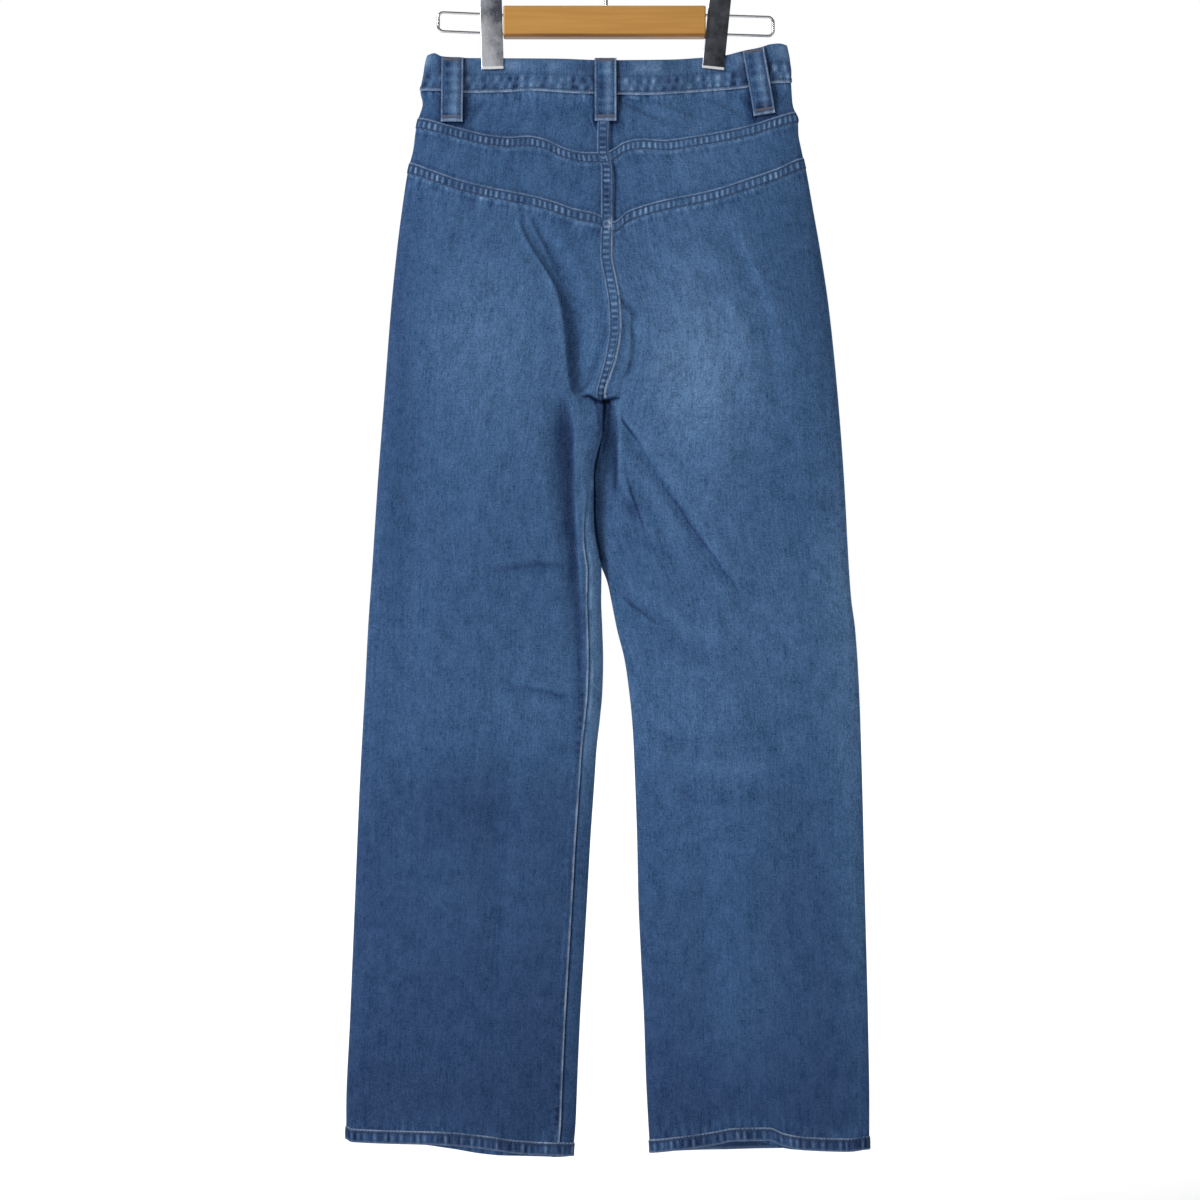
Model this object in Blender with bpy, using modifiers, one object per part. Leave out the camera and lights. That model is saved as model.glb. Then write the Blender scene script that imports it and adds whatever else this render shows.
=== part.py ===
"""Straight-leg jeans held by the two clips of a trouser hanger, seen from the back.

Metres, +Z up. The origin is on the inside of the hanger's hook, where it bears on a rail.
The garment hangs in the XZ plane: its back faces -Y and its front +Y. The wearer's left is -X.
A drop is a height in millimetres below the top edge of the waistband at the centre back.
"""

import math

import bmesh
import bpy
import numpy as np
from mathutils import Matrix, Vector

MM = 0.001

# Heights below the origin
WAIST_Z = -138.0
BAR_TOP_Z = -85.0

# Cloth
WALL = 1.2
SEAM_GAP = 0.3
HEM_HEIGHT = 13.0
HEM_STEP = 0.8
HEM_OUT = 0.5
HEM_WALL = 2.4
BAND_OUT = 0.8
BAND_IN = 2.0
FRONT_DIP = 9.0
CROTCH = 322.0
FORK_LENGTH = 38.0
GRIP_HALF = 2.3
GRIP_FLAT = 15.0
LAP_RISE = BAND_OUT + BAND_IN + SEAM_GAP

# Belt loops, fly and button
LOOP_WIDTH = 21.0
LOOP_WALL = 1.6
LOOP_BOW = 2.4
FLY_WIDTH = 36.0
FLY_LENGTH = 168.0
FLY_LAP = 3.0
BUTTON_RADIUS = 8.5
BUTTON_STEM_RADIUS = 4.0
BUTTON_DROP = 24.0

# Hanger
BAR_WIDTH, BAR_DEPTH, BAR_HEIGHT = 194.0, 14.0, 30.0
BAR_CENTRE_X = -1.5
BAR_BEVEL = 2.0
WIRE_RADIUS = 1.5
HOOK_WIRE_RADIUS = 1.75
HOOK_INNER_RADIUS = 20.0
HOOK_NECK_RADIUS = 40.0
HOOK_LEAN = 28.0
HOOK_TIP_ANGLE = 196.0
RAIL_DROPS = (-43.2, -25.0)
RAIL_CORNER = 5.0
RAIL_ENDS = {"left": -161.0, "right": 160.5}
CLIP_WIDTH = 21.0
CLIP_SHEET = 1.2
CLIP_TOP_DROP = -80.0
CLIP_FLARE_DROPS = (-22.0, -7.5)
CLIP_TIP_DROP = 9.8
CLIPS = {"left": {"x": -109.0, "lean": -1.6}, "right": {"x": 103.5, "lean": 5.9}}

BACK, FRONT = -1.0, 1.0
LEFT, RIGHT = "left", "right"

# The silhouette's two outer edges: drop, x on the left, x on the right
OUTLINE = (
    (-16, -168.0, 173.0),
    (0, -171.8, 175.0),
    (20, -175.5, 177.5),
    (33, -178.0, 178.6),
    (42, -176.5, 179.0),
    (58, -180.8, 184.0),
    (86, -184.6, 187.4),
    (106, -190.0, 192.0),
    (144, -195.8, 198.7),
    (182, -200.6, 205.4),
    (240, -206.4, 214.0),
    (326, -213.0, 222.7),
    (403, -218.9, 228.5),
    (490, -224.6, 233.3),
    (547, -228.5, 238.6),
    (605, -231.4, 242.9),
    (691, -236.2, 245.8),
    (806, -241.0, 248.6),
    (922, -245.8, 251.5),
    (1008, -249.4, 252.8),
    (1062, -249.4, 252.6),
)

# The centre seams down to the crotch, then the legs' inner edges: drop, x on the left, x on the right
INSIDE = (
    (-16, 1.0, 1.0),
    (35, 1.0, 1.0),
    (89, 0.0, 0.0),
    (156, 4.0, 4.0),
    (189, 4.0, 4.0),
    (217, 7.0, 7.0),
    (240, 10.5, 10.5),
    (262, 11.0, 11.0),
    (290, 6.5, 6.5),
    (305, 2.0, 2.0),
    (322, -3.0, -3.0),
    (345, -3.2, -3.2),
    (361, -5.2, -5.2),
    (375, -8.2, -8.2),
    (394, -11.4, -11.4),
    (425, -12.0, -12.0),
    (442, -11.4, -11.4),
    (463, -9.3, -9.3),
    (489, -4.6, -3.6),
    (518, -4.6, 4.8),
    (547, -3.5, 10.6),
    (576, -2.7, 17.5),
    (605, -3.4, 22.0),
    (634, -6.0, 25.0),
    (691, -11.0, 27.8),
    (749, -15.0, 29.8),
    (806, -18.2, 31.2),
    (922, -25.0, 36.0),
    (1018, -29.4, 40.2),
    (1062, -32.0, 42.5),
)

# Half the depth of the hanging tube, cloth included: drop, back, front
DEPTH = (
    (-16, 6.6, 6.6),
    (0, 7.0, 7.0),
    (35, 8.5, 8.0),
    (70, 12.0, 10.5),
    (110, 16.0, 13.0),
    (180, 21.0, 16.0),
    (260, 24.0, 17.5),
    (322, 22.0, 18.0),
    (400, 18.5, 18.0),
    (500, 17.5, 17.0),
    (700, 17.0, 16.0),
    (1062, 15.5, 15.0),
)

# Share of the ring by which the inseam lies on the back: drop, left leg, right leg
INSEAM = (
    (322, 0.0, 0.0),
    (352, 0.025, -0.02),
    (400, 0.095, -0.04),
    (490, 0.145, -0.06),
    (1062, 0.145, -0.08),
)

# Lines across the back: x, drop
WAIST_TOP = (
    (-180, -2.0),
    (-170, -5.5),
    (-163, -6.7),
    (-155, -3.6),
    (-130, -2.0),
    (-50, -1.5),
    (0, 0.0),
    (60, -0.5),
    (100, -3.0),
    (122, -6.5),
    (149, -12.5),
    (163, -15.8),
    (172, -15.0),
    (180, -9.0),
)
BAND_SEAM = (
    (-182, 29.0),
    (-132, 31.0),
    (-70, 29.3),
    (-10, 32.0),
    (36, 32.8),
    (101, 29.8),
    (132, 26.2),
    (158, 22.6),
    (182, 21.0),
)
UPPER_SEAM = (
    (-184, 62.0),
    (-146, 70.0),
    (-113, 77.8),
    (-92, 79.7),
    (-76, 79.0),
    (-60, 81.6),
    (-38, 90.5),
    (-18, 94.5),
    (1, 95.0),
    (10, 91.5),
    (19, 86.0),
    (35, 82.0),
    (56, 82.4),
    (80, 79.7),
    (109, 75.0),
    (141, 67.8),
    (163, 61.2),
    (188, 55.0),
)
LOWER_SEAM = (
    (-192, 104.0),
    (-169, 111.4),
    (-144, 120.0),
    (-118, 126.7),
    (-92, 132.0),
    (-70, 136.3),
    (-50, 142.0),
    (-30, 148.8),
    (-12, 153.6),
    (4, 161.0),
    (11, 159.5),
    (20, 152.4),
    (35, 146.2),
    (57, 140.0),
    (81, 135.4),
    (105, 130.0),
    (138, 119.5),
    (163, 110.6),
    (194, 99.5),
)
HEM = {
    (LEFT, BACK): (
        (-250, 1037.0),
        (-233, 1040.0),
        (-158, 1042.5),
        (-114, 1046.5),
        (-70, 1051.0),
        (-30, 1050.0),
    ),
    (RIGHT, BACK): (
        (40, 1048.5),
        (77, 1046.0),
        (119, 1041.0),
        (141, 1037.5),
        (156, 1037.0),
        (171, 1042.0),
        (205, 1047.0),
        (233, 1048.0),
        (254, 1046.0),
    ),
    (LEFT, FRONT): ((-250, 1037.0), (-140, 1043.0), (-30, 1050.0)),
    (RIGHT, FRONT): ((40, 1048.5), (141, 1046.5), (254, 1046.0)),
}

# The largest folds, as stations down each trough:
# name, face, leg, ((drop, x, depth, width to the left, width to the right), ...)
FOLDS = (
    (
        "trough beside the left inseam",
        BACK,
        LEFT,
        (
            (146, -64.0, 0.0, 14.0, 10.0),
            (192, -36.0, 5.5, 16.0, 12.0),
            (240, -26.0, 7.0, 18.0, 11.0),
            (290, -25.0, 7.0, 18.0, 10.0),
            (345, -27.5, 9.0, 17.0, 8.0),
            (432, -27.5, 9.5, 16.0, 7.5),
            (490, -22.5, 7.0, 15.0, 7.5),
            (560, -18.5, 3.0, 14.0, 7.0),
            (620, -16.5, 0.0, 12.0, 7.0),
        ),
    ),
    (
        "outer trough of the right seat",
        BACK,
        RIGHT,
        (
            (160, 112.0, 0.0, 14.0, 14.0),
            (221, 138.0, 3.0, 16.0, 14.0),
            (260, 162.0, 4.5, 18.0, 14.0),
            (307, 172.0, 5.0, 18.0, 13.0),
            (355, 177.0, 5.0, 17.0, 13.0),
            (430, 193.0, 4.0, 16.0, 14.0),
            (520, 200.0, 0.0, 16.0, 14.0),
        ),
    ),
    (
        "drag line across the right thigh",
        BACK,
        RIGHT,
        (
            (345, 15.0, 0.0, 9.0, 9.0),
            (380, 42.0, 3.0, 10.0, 8.0),
            (425, 70.0, 3.5, 11.0, 8.0),
            (475, 100.0, 3.0, 12.0, 9.0),
            (530, 142.0, 0.0, 12.0, 9.0),
        ),
    ),
    (
        "fold below the fly, left",
        FRONT,
        LEFT,
        (
            (200, -20.0, 0.0, 14.0, 14.0),
            (280, -42.0, 4.0, 14.0, 14.0),
            (420, -66.0, 4.0, 16.0, 16.0),
            (560, -84.0, 0.0, 16.0, 16.0),
        ),
    ),
    (
        "fold below the fly, right",
        FRONT,
        RIGHT,
        (
            (190, 30.0, 0.0, 14.0, 14.0),
            (270, 52.0, 4.5, 15.0, 15.0),
            (400, 80.0, 3.5, 16.0, 16.0),
            (520, 96.0, 0.0, 16.0, 16.0),
        ),
    ),
)

BACK_LOOPS = {
    "belt_loop_centre": {"top": (-0.5, -1.0), "foot": (-0.3, 59.0)},
    "belt_loop_back_left": {"top": (-146.4, -2.4), "foot": (-146.9, 59.5)},
    "belt_loop_back_right": {"top": (141.2, -10.2), "foot": (151.6, 52.5)},
}
FRONT_LOOPS = {
    "belt_loop_front_left": {"top": (-58.0, 4.5), "foot": (-57.0, 63.5)},
    "belt_loop_front_right": {"top": (57.0, 4.5), "foot": (57.0, 63.5)},
}

# Rows and columns of the lofted walls
BACK_COLUMNS = 19
FRONT_COLUMNS = 12
SEAT_ROWS = 5
LEG_SHARES = (0.0, 0.012, 0.03, 0.055, 0.085, 0.12, 0.16, 0.2, 0.25, 0.31, 0.38, 0.46, 0.54, 0.62, 0.7, 0.78, 0.86, 0.93, 1.0)
FORK_ROWS = (26.0, 16.0, 9.0, 4.0, 1.2, 0.0)
BAND_COLUMNS = 12
LOOP_ROWS = 7

DENIM = {"color": (0.095, 0.175, 0.33, 1.0), "roughness": 0.9, "metallic": 0.0}
WOOD = {"color": (0.47, 0.25, 0.07, 1.0), "roughness": 0.4, "metallic": 0.0}
CHROME = {"color": (0.62, 0.63, 0.66, 1.0), "roughness": 0.18, "metallic": 1.0}


def clear_scene():
    for obj in list(bpy.data.objects):
        bpy.data.objects.remove(obj)


def smooth_step(value, low, high):
    t = np.clip((value - low) / (high - low), 0.0, 1.0)
    return t * t * (3.0 - 2.0 * t)


def curve_through(table, value, column=1):
    """A monotone cubic through one column of a table, flat beyond its ends."""
    rows = np.array([row[:1] + row[column : column + 1] for row in table], float)
    xs, ys = rows[:, 0], rows[:, 1]
    step = np.diff(xs)
    slope = np.diff(ys) / step
    tangent = np.zeros(len(xs))
    same_way = slope[:-1] * slope[1:] > 0
    mean = 2.0 * slope[:-1] * slope[1:] / np.where(same_way, slope[:-1] + slope[1:], 1.0)
    tangent[1:-1] = np.where(same_way, mean, 0.0)
    value = np.clip(np.asarray(value, float), xs[0], xs[-1])
    i = np.clip(np.searchsorted(xs, value, side="right") - 1, 0, len(step) - 1)
    t = (value - xs[i]) / step[i]
    rise = ys[i + 1] - ys[i]
    start, end = tangent[i] * step[i], tangent[i + 1] * step[i]
    return ys[i] + t * (start + t * (3 * rise - 2 * start - end + t * (start + end - 2 * rise)))


def outer_edge(side, drop):
    return curve_through(OUTLINE, drop, 1 if side == LEFT else 2)


def inner_edge(side, drop):
    """The centre seam above the crotch, or the leg's inner edge below it, half a seam gap in."""
    away = -SEAM_GAP / 2 if side == LEFT else SEAM_GAP / 2
    return curve_through(INSIDE, drop, 1 if side == LEFT else 2) + away


def fork_share(drop):
    """1 where the body is one tube, falling along a quarter ellipse to 0 at the crotch."""
    along = np.clip((drop - CROTCH + FORK_LENGTH) / FORK_LENGTH, 0.0, 1.0)
    return np.sqrt(1.0 - along**2)


def clip_grip(x, drop):
    """1 under a clip's jaws, falling away beside and below them."""
    grip = np.zeros(np.broadcast(x, drop).shape)
    for clip in CLIPS.values():
        beside = np.maximum(np.abs(x - clip["x"]) - GRIP_FLAT, 0.0) / 20.0
        below = np.maximum(drop - 15.0, 0.0) / 42.0
        grip = np.maximum(grip, np.exp(-(beside**2) - below**2))
    return grip


def fold_relief(face, side, x, drop):
    """How far the troughs pull the cloth in, as a positive number."""
    relief = np.zeros(np.broadcast(x, drop).shape)
    for _name, fold_face, fold_side, stations in FOLDS:
        if fold_face != face or fold_side != side:
            continue
        first, last = stations[0][0], stations[-1][0]
        middle = curve_through(stations, drop, 1)
        slope = (curve_through(stations, drop + 2.0, 1) - curve_through(stations, drop - 2.0, 1)) / 4.0
        away = (x - middle) / np.sqrt(1.0 + slope**2)
        width = np.where(away < 0, curve_through(stations, drop, 3), curve_through(stations, drop, 4))
        depth = np.where((drop > first) & (drop < last), curve_through(stations, drop, 2), 0.0)
        relief = relief + depth * np.exp(-((away / width) ** 2))
    return relief


def cloth_point(side, face, share, drop):
    """The point of the cloth's surface at a share of the way from the outer edge to the inner one.

    The section is a flattened oval. Above the crotch its inner end stays open at full depth.
    Just below it the legs press on each other, so their inner ends are blunt.
    """
    outer, inner = outer_edge(side, drop), inner_edge(side, drop)
    x = outer + (inner - outer) * share
    near_outer, near_inner = np.minimum(share, 0.5), np.maximum(share, 0.5)
    round_outer = (2.0 * np.sqrt(near_outer * (1.0 - near_outer))) ** 0.7
    blunt = 0.35 + 0.55 * smooth_step(drop, CROTCH, CROTCH + 90.0)
    round_inner = (2.0 * np.sqrt(np.clip(near_inner * (1.0 - near_inner), 0.0, 1.0))) ** blunt
    fork = fork_share(drop)
    depth = curve_through(DEPTH, drop, 1 if face == BACK else 2)
    swell = round_outer * (fork + (1.0 - fork) * round_inner)
    grip = clip_grip(x, drop)
    half = depth * swell * (1.0 - grip) + GRIP_HALF * grip * np.minimum(1.0, 3.0 * round_outer)
    half = half - fold_relief(face, side, x, drop) * swell
    return np.stack([x, face * half, WAIST_Z - drop], axis=-1)


def ring_point(side, ring, drop):
    """The cloth at a place on a leg's ring: 0 outer edge, up to 1 across the back, up to 2 across the front."""
    on_front = (ring < 0) | ((ring > 1) & (ring <= 2))
    across = np.where(ring > 1, np.abs(2.0 - ring), np.abs(ring))
    trunk = 1.0 - smooth_step(drop, 200.0, CROTCH)
    share = trunk * (1.0 - np.cos(math.pi * across / 2)) + (1.0 - trunk) * (1.0 - np.cos(math.pi * across)) / 2
    back = cloth_point(side, BACK, share, drop)
    front = cloth_point(side, FRONT, share, drop)
    return np.where(on_front[..., None], front, back)


def ring_normal(side, ring, drop):
    """The outward unit normal of the cloth's surface, from differences along the ring and down it."""
    step, fall = 0.012, 1.0
    before, after = ring - step, ring + step
    open_end = drop <= CROTCH - 0.5
    after = np.where(open_end & (ring <= 1), np.minimum(after, 1.0), after)
    before = np.where(open_end & (ring > 1), np.maximum(before, 1.0 + 1e-6), before)
    along = ring_point(side, after, drop) - ring_point(side, before, drop)
    down = ring_point(side, ring, drop + fall) - ring_point(side, ring, drop - fall)
    normal = np.cross(along, down)
    if side == LEFT:
        normal = -normal
    return unit(normal)


def unit(vectors):
    return vectors / np.maximum(np.linalg.norm(vectors, axis=-1, keepdims=True), 1e-9)


def drop_on_line(line, side, ring, drop_guess):
    """The drop at which each ring place crosses a line that is given as a table of x and drop."""
    drop = np.full(np.shape(ring), float(drop_guess))
    for _ in range(6):
        drop = curve_through(line, ring_point(side, ring, drop)[..., 0])
    return drop


def front_line_dip(side, ring, drop):
    """How far the front of the waist lies below the back, from none at the side to most at the centre."""
    point = ring_point(side, ring, drop)[..., 0]
    outer, inner = outer_edge(side, drop), inner_edge(side, drop)
    return FRONT_DIP * np.clip((point - outer) / (inner - outer), 0.0, 1.0) ** 1.5


def wall_object(name, outer, inner, finish, collection):
    """A closed wall between two grids of points: both faces and the strip round their rim."""
    rows, columns = outer.shape[:2]
    count = rows * columns
    points = np.concatenate([outer.reshape(-1, 3), inner.reshape(-1, 3)]) * MM
    index = np.arange(count).reshape(rows, columns)
    faces = []
    for i in range(rows - 1):
        for j in range(columns - 1):
            a, b, c, d = (int(k) for k in (index[i, j], index[i + 1, j], index[i + 1, j + 1], index[i, j + 1]))
            faces += [(a, b, c), (a, c, d)]
            faces += [(a + count, c + count, b + count), (a + count, d + count, c + count)]
    rim = list(index[0, :-1]) + list(index[:-1, -1]) + list(index[-1, :0:-1]) + list(index[:0:-1, 0])
    rim = [int(k) for k in rim]
    for a, b in zip(rim, rim[1:] + rim[:1]):
        faces += [(a, b, b + count), (a, b + count, a + count)]
    mesh = bpy.data.meshes.new(name)
    mesh.from_pydata(points.tolist(), [], faces)
    solid = bmesh.new()
    solid.from_mesh(mesh)
    bmesh.ops.recalc_face_normals(solid, faces=solid.faces)
    if solid.calc_volume(signed=True) < 0:
        bmesh.ops.reverse_faces(solid, faces=solid.faces)
    solid.to_mesh(mesh)
    solid.free()
    mesh.shade_smooth()
    mesh.set_sharp_from_angle(angle=math.radians(40))
    return finish_object(bpy.data.objects.new(name, mesh), finish, collection)


def finish_object(obj, finish, collection):
    collection.objects.link(obj)
    obj.data.materials.clear()
    obj.data.materials.append(finish)
    return obj


def make_material(name, look):
    material = bpy.data.materials.new(name)
    material.use_nodes = True
    shader = material.node_tree.nodes["Principled BSDF"]
    shader.inputs["Base Color"].default_value = look["color"]
    shader.inputs["Roughness"].default_value = look["roughness"]
    shader.inputs["Metallic"].default_value = look["metallic"]
    return material


def cloth_panel(name, side, ring, drop, finish, collection, hem=False):
    """A panel's wall on its grid of ring places and drops. Its first and last columns stand half a gap off the seam."""
    outer = ring_point(side, ring, drop)
    normal = ring_normal(side, ring, drop)
    into_first = unit(ring_point(side, ring[:, 0] + 0.004, drop[:, 0]) - outer[:, 0])
    into_last = unit(ring_point(side, ring[:, -1] - 0.004, drop[:, -1]) - outer[:, -1])
    outer[:, 0] += into_first * SEAM_GAP / 2
    outer[:, -1] += into_last * SEAM_GAP / 2
    out, thick = np.zeros(drop.shape), np.full(drop.shape, WALL)
    if hem:
        out[-2:], thick[-2:] = HEM_OUT, HEM_WALL
    face = outer + normal * out[..., None]
    return wall_object(name, face, face - normal * thick[..., None], finish, collection)


def rows_between(top, bottom, count):
    """Rows of drops from one line to another, both included."""
    share = np.linspace(0.0, 1.0, count)[:, None]
    return top[None, :] * (1.0 - share) + bottom[None, :] * share


def leg_drops(side, face, ring_row, top):
    """The drops of a leg panel: the seat, the fork, the leg, then the step and foot of the hem."""
    fork_top = np.full(top.shape, CROTCH - FORK_LENGTH)
    seat = rows_between(top, fork_top, SEAT_ROWS)
    fork = np.array([[CROTCH - above] for above in FORK_ROWS]) + np.zeros(top.shape)
    foot = drop_on_line(HEM[(side, face)], side, ring_row, 1045.0)
    crotch = np.full(top.shape, CROTCH)
    share = np.array(LEG_SHARES[1:])[:, None]
    leg = crotch * (1.0 - share) + (foot - HEM_HEIGHT - HEM_STEP) * share
    hem = np.stack([foot - HEM_HEIGHT, foot])
    return np.concatenate([seat, fork, leg, hem])


def inseam_place(side, drop):
    """The ring place of the inseam, 1 where it lies on the leg's inner edge."""
    return 1.0 - curve_through(INSEAM, drop, 1 if side == LEFT else 2)


def back_panel(side, finish, collection):
    across = np.linspace(0.0, 1.0, BACK_COLUMNS)
    top = drop_on_line(LOWER_SEAM, side, across, 130.0) + SEAM_GAP / 2
    drop = leg_drops(side, BACK, across, top)
    ring = across[None, :] * inseam_place(side, drop)
    return cloth_panel(f"back_{side}", side, ring, drop, finish, collection, hem=True)


def front_panel(side, finish, collection):
    across = np.linspace(0.0, 1.0, FRONT_COLUMNS)
    rough = np.clip(1.0 + across, 1.0 + 1e-6, 2.0)
    top = drop_on_line(BAND_SEAM, side, rough, 30.0)
    top = top + front_line_dip(side, rough, top) + SEAM_GAP / 2
    drop = leg_drops(side, FRONT, rough, top)
    start = inseam_place(side, drop)
    ring = np.maximum(start + (2.0 - start) * across[None, :], np.where(drop <= CROTCH, 1.0 + 1e-6, 0.0))
    return cloth_panel(f"front_{side}", side, ring, drop, finish, collection, hem=True)


def yoke(name, side, upper_line, lower_line, rows, finish, collection):
    across = np.linspace(0.0, 1.0, BACK_COLUMNS)
    top = drop_on_line(upper_line, side, across, 60.0) + SEAM_GAP / 2
    bottom = drop_on_line(lower_line, side, across, 100.0) - SEAM_GAP / 2
    drop = rows_between(top, bottom, rows)
    ring = np.zeros(drop.shape) + across[None, :]
    return cloth_panel(name, side, ring, drop, finish, collection)


def band_places(side):
    """Places of the band's columns on a quarter of the ring, two of them at the edges of the clip's grip."""
    outer, inner = outer_edge(side, 5.0), inner_edge(side, 5.0)
    edges = [CLIPS[side]["x"] + way * (GRIP_FLAT - 0.5) for way in (-1, 1)]
    shares = [(x - outer) / (inner - outer) for x in edges]
    gripped = np.array([math.acos(1.0 - share) * 2 / math.pi for share in shares])
    even = np.linspace(0.0, 1.0, BAND_COLUMNS)
    clear = np.abs(even[:, None] - gripped[None, :]).min(axis=1) > 0.03
    outside = (even < gripped.min()) | (even > gripped.max())
    return np.sort(np.concatenate([even[clear & outside], gripped]))


def waistband(finish, collection):
    """One band round the waist. Its left end laps over the right end at the centre front."""
    lap, under, ramp = 0.055, 0.07, (0.075, 0.17)
    quarters = {side: band_places(side) for side in (LEFT, RIGHT)}
    left_front = 1.0 - quarters[LEFT][::-1]
    front = np.concatenate([[1e-6, 0.03, ramp[0]], left_front[left_front > ramp[0] + 0.03]])
    path = [(RIGHT, 1.0 + lap), (RIGHT, 1.0 + lap / 2)]
    path += [(LEFT, 1.0 + r) for r in front]
    path += [(LEFT, r) for r in quarters[LEFT][1:]]
    path += [(RIGHT, r) for r in quarters[RIGHT][-2::-1]]
    path += [(RIGHT, 2.0 - r) for r in quarters[RIGHT][1:-1] if r < 0.95]
    path += [(RIGHT, 1.0 + r) for r in (0.03, 1e-6)]
    path += [(LEFT, 1.0 + r) for r in (0.03, under)]
    outer, inner = [], []
    for place, (side, where) in enumerate(path):
        lapped = place < 2 + len(front)
        rise = LAP_RISE * (1.0 - smooth_step(where - 1.0, *ramp)) if lapped else 0.0
        if side == RIGHT and lapped:
            rise = LAP_RISE
        ring = np.array([where])
        top = drop_on_line(WAIST_TOP, side, ring, 0.0)
        bottom = drop_on_line(BAND_SEAM, side, ring, 30.0)
        if where > 1:
            top = top + front_line_dip(side, ring, top)
            bottom = bottom + front_line_dip(side, ring, bottom)
        drop = np.array([top[0], (top[0] + bottom[0]) / 2, bottom[0] - SEAM_GAP / 2])
        ring = np.full(3, where)
        surface, normal = ring_point(side, ring, drop), ring_normal(side, ring, drop)
        outer.append(surface + normal * (BAND_OUT + rise))
        inner.append(surface + normal * (rise - BAND_IN))
    return wall_object("waistband", np.array(outer), np.array(inner), finish, collection)


def cloth_at(face, x, drop):
    """The cloth's surface and outward normal at an x and drop above the crotch, away from the side edges."""

    def point(at_x, at_drop):
        on_left = at_x < curve_through(INSIDE, at_drop, 1)
        found = []
        for side in (LEFT, RIGHT):
            outer, inner = outer_edge(side, at_drop), inner_edge(side, at_drop)
            share = np.clip((at_x - outer) / (inner - outer), 0.0, 1.0)
            found.append(cloth_point(side, face, share, at_drop))
        return np.where(on_left[..., None], found[0], found[1])

    surface = point(x, drop)
    along = point(x + 1.5, drop) - point(x - 1.5, drop)
    down = point(x, drop + 1.5) - point(x, drop - 1.5)
    normal = np.cross(along, down) * face
    return surface, unit(normal)


def belt_loop(name, face, place, finish, collection):
    """A strip on the waistband, sewn at its two ends and bowed out between them for the belt."""
    (top_x, top_drop), (foot_x, foot_drop) = place["top"], place["foot"]
    length = math.hypot(foot_x - top_x, foot_drop - top_drop)
    side_x, side_drop = (foot_drop - top_drop) / length, -(foot_x - top_x) / length
    along = np.linspace(0.0, 1.0, LOOP_ROWS)[:, None]
    across = np.array([-0.5, 0.0, 0.5])[None, :] * LOOP_WIDTH
    x = top_x + (foot_x - top_x) * along + side_x * across
    drop = top_drop + (foot_drop - top_drop) * along + side_drop * across
    surface, normal = cloth_at(face, x, drop)
    off_band = (BAND_OUT + SEAM_GAP) * (1.0 - smooth_step(along, 0.72, 1.0)) + SEAM_GAP * smooth_step(along, 0.72, 1.0)
    off = off_band + LOOP_BOW * np.sin(math.pi * along) ** 0.8 + 0.0 * across
    normal = unit(normal.mean(axis=1, keepdims=True) + 0.0 * normal)
    inside = surface + normal * off[..., None]
    return wall_object(name, inside + normal * LOOP_WALL, inside, finish, collection)


def fly_flap(finish, collection):
    """The doubled front edge over the fly: a strip on the left front, rounded to the centre at its foot."""
    share = np.linspace(0.0, 1.0, 9)[:, None]
    across = np.linspace(0.0, 1.0, 6)[None, :]
    width = FLY_WIDTH * np.sqrt(np.clip(1.0 - np.clip((share - 0.62) / 0.4, 0.0, 1.0) ** 2, 0.02, 1.0))
    top_x = FLY_LAP - (FLY_WIDTH + FLY_LAP) * across
    outer, inner = outer_edge(LEFT, 35.0), inner_edge(LEFT, 35.0)
    dip = FRONT_DIP * np.clip((top_x - outer) / (inner - outer), 0.0, 1.0) ** 1.5
    top = curve_through(BAND_SEAM, top_x) + dip + 2 * SEAM_GAP
    drop = top + (FLY_LENGTH - top) * share
    x = curve_through(INSIDE, drop, 1) + FLY_LAP - (width + FLY_LAP) * across
    surface, normal = cloth_at(FRONT, x, drop)
    inside = surface + normal * SEAM_GAP
    return wall_object("fly_flap", inside + normal * WALL, inside, finish, collection)


def placed_on_cloth(face, x, drop, off):
    """A matrix whose local Z is the cloth's outward normal and whose origin stands off the cloth."""
    surface, normal = cloth_at(face, np.array([x]), np.array([drop]))
    out = Vector(normal[0])
    origin = (Vector(surface[0]) + out * off) * MM
    turn = out.to_track_quat("Z", "Y").to_matrix().to_4x4()
    return Matrix.Translation(origin) @ turn


def turned_object(name, profile, steps, finish, collection):
    """A profile of (radius, height) pairs turned about Z with a Screw modifier."""
    mesh = bpy.data.meshes.new(name)
    points = [(radius * MM, 0.0, height * MM) for radius, height in profile]
    mesh.from_pydata(points, [(i, i + 1) for i in range(len(points) - 1)], [])
    obj = finish_object(bpy.data.objects.new(name, mesh), finish, collection)
    screw = obj.modifiers.new("turn", "SCREW")
    screw.axis = "Z"
    screw.steps = steps
    screw.render_steps = steps
    screw.use_merge_vertices = True
    screw.merge_threshold = 0.00001
    screw.use_smooth_shade = True
    return obj


def waist_button(finish, collection):
    """A domed metal button on a short stem, at the centre of the lapped band."""
    profile = (
        (0.0, 4.4),
        (BUTTON_RADIUS * 0.5, 4.2),
        (BUTTON_RADIUS * 0.82, 3.6),
        (BUTTON_RADIUS, 2.9),
        (BUTTON_RADIUS, 2.1),
        (BUTTON_STEM_RADIUS, 1.7),
        (BUTTON_STEM_RADIUS, 0.0),
        (0.0, 0.0),
    )
    obj = turned_object("waist_button", profile, 20, finish, collection)
    x = float(curve_through(INSIDE, 10.0, 1)) + 0.5
    obj.matrix_world = placed_on_cloth(FRONT, x, BUTTON_DROP, LAP_RISE + BAND_OUT + SEAM_GAP)
    return obj


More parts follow.
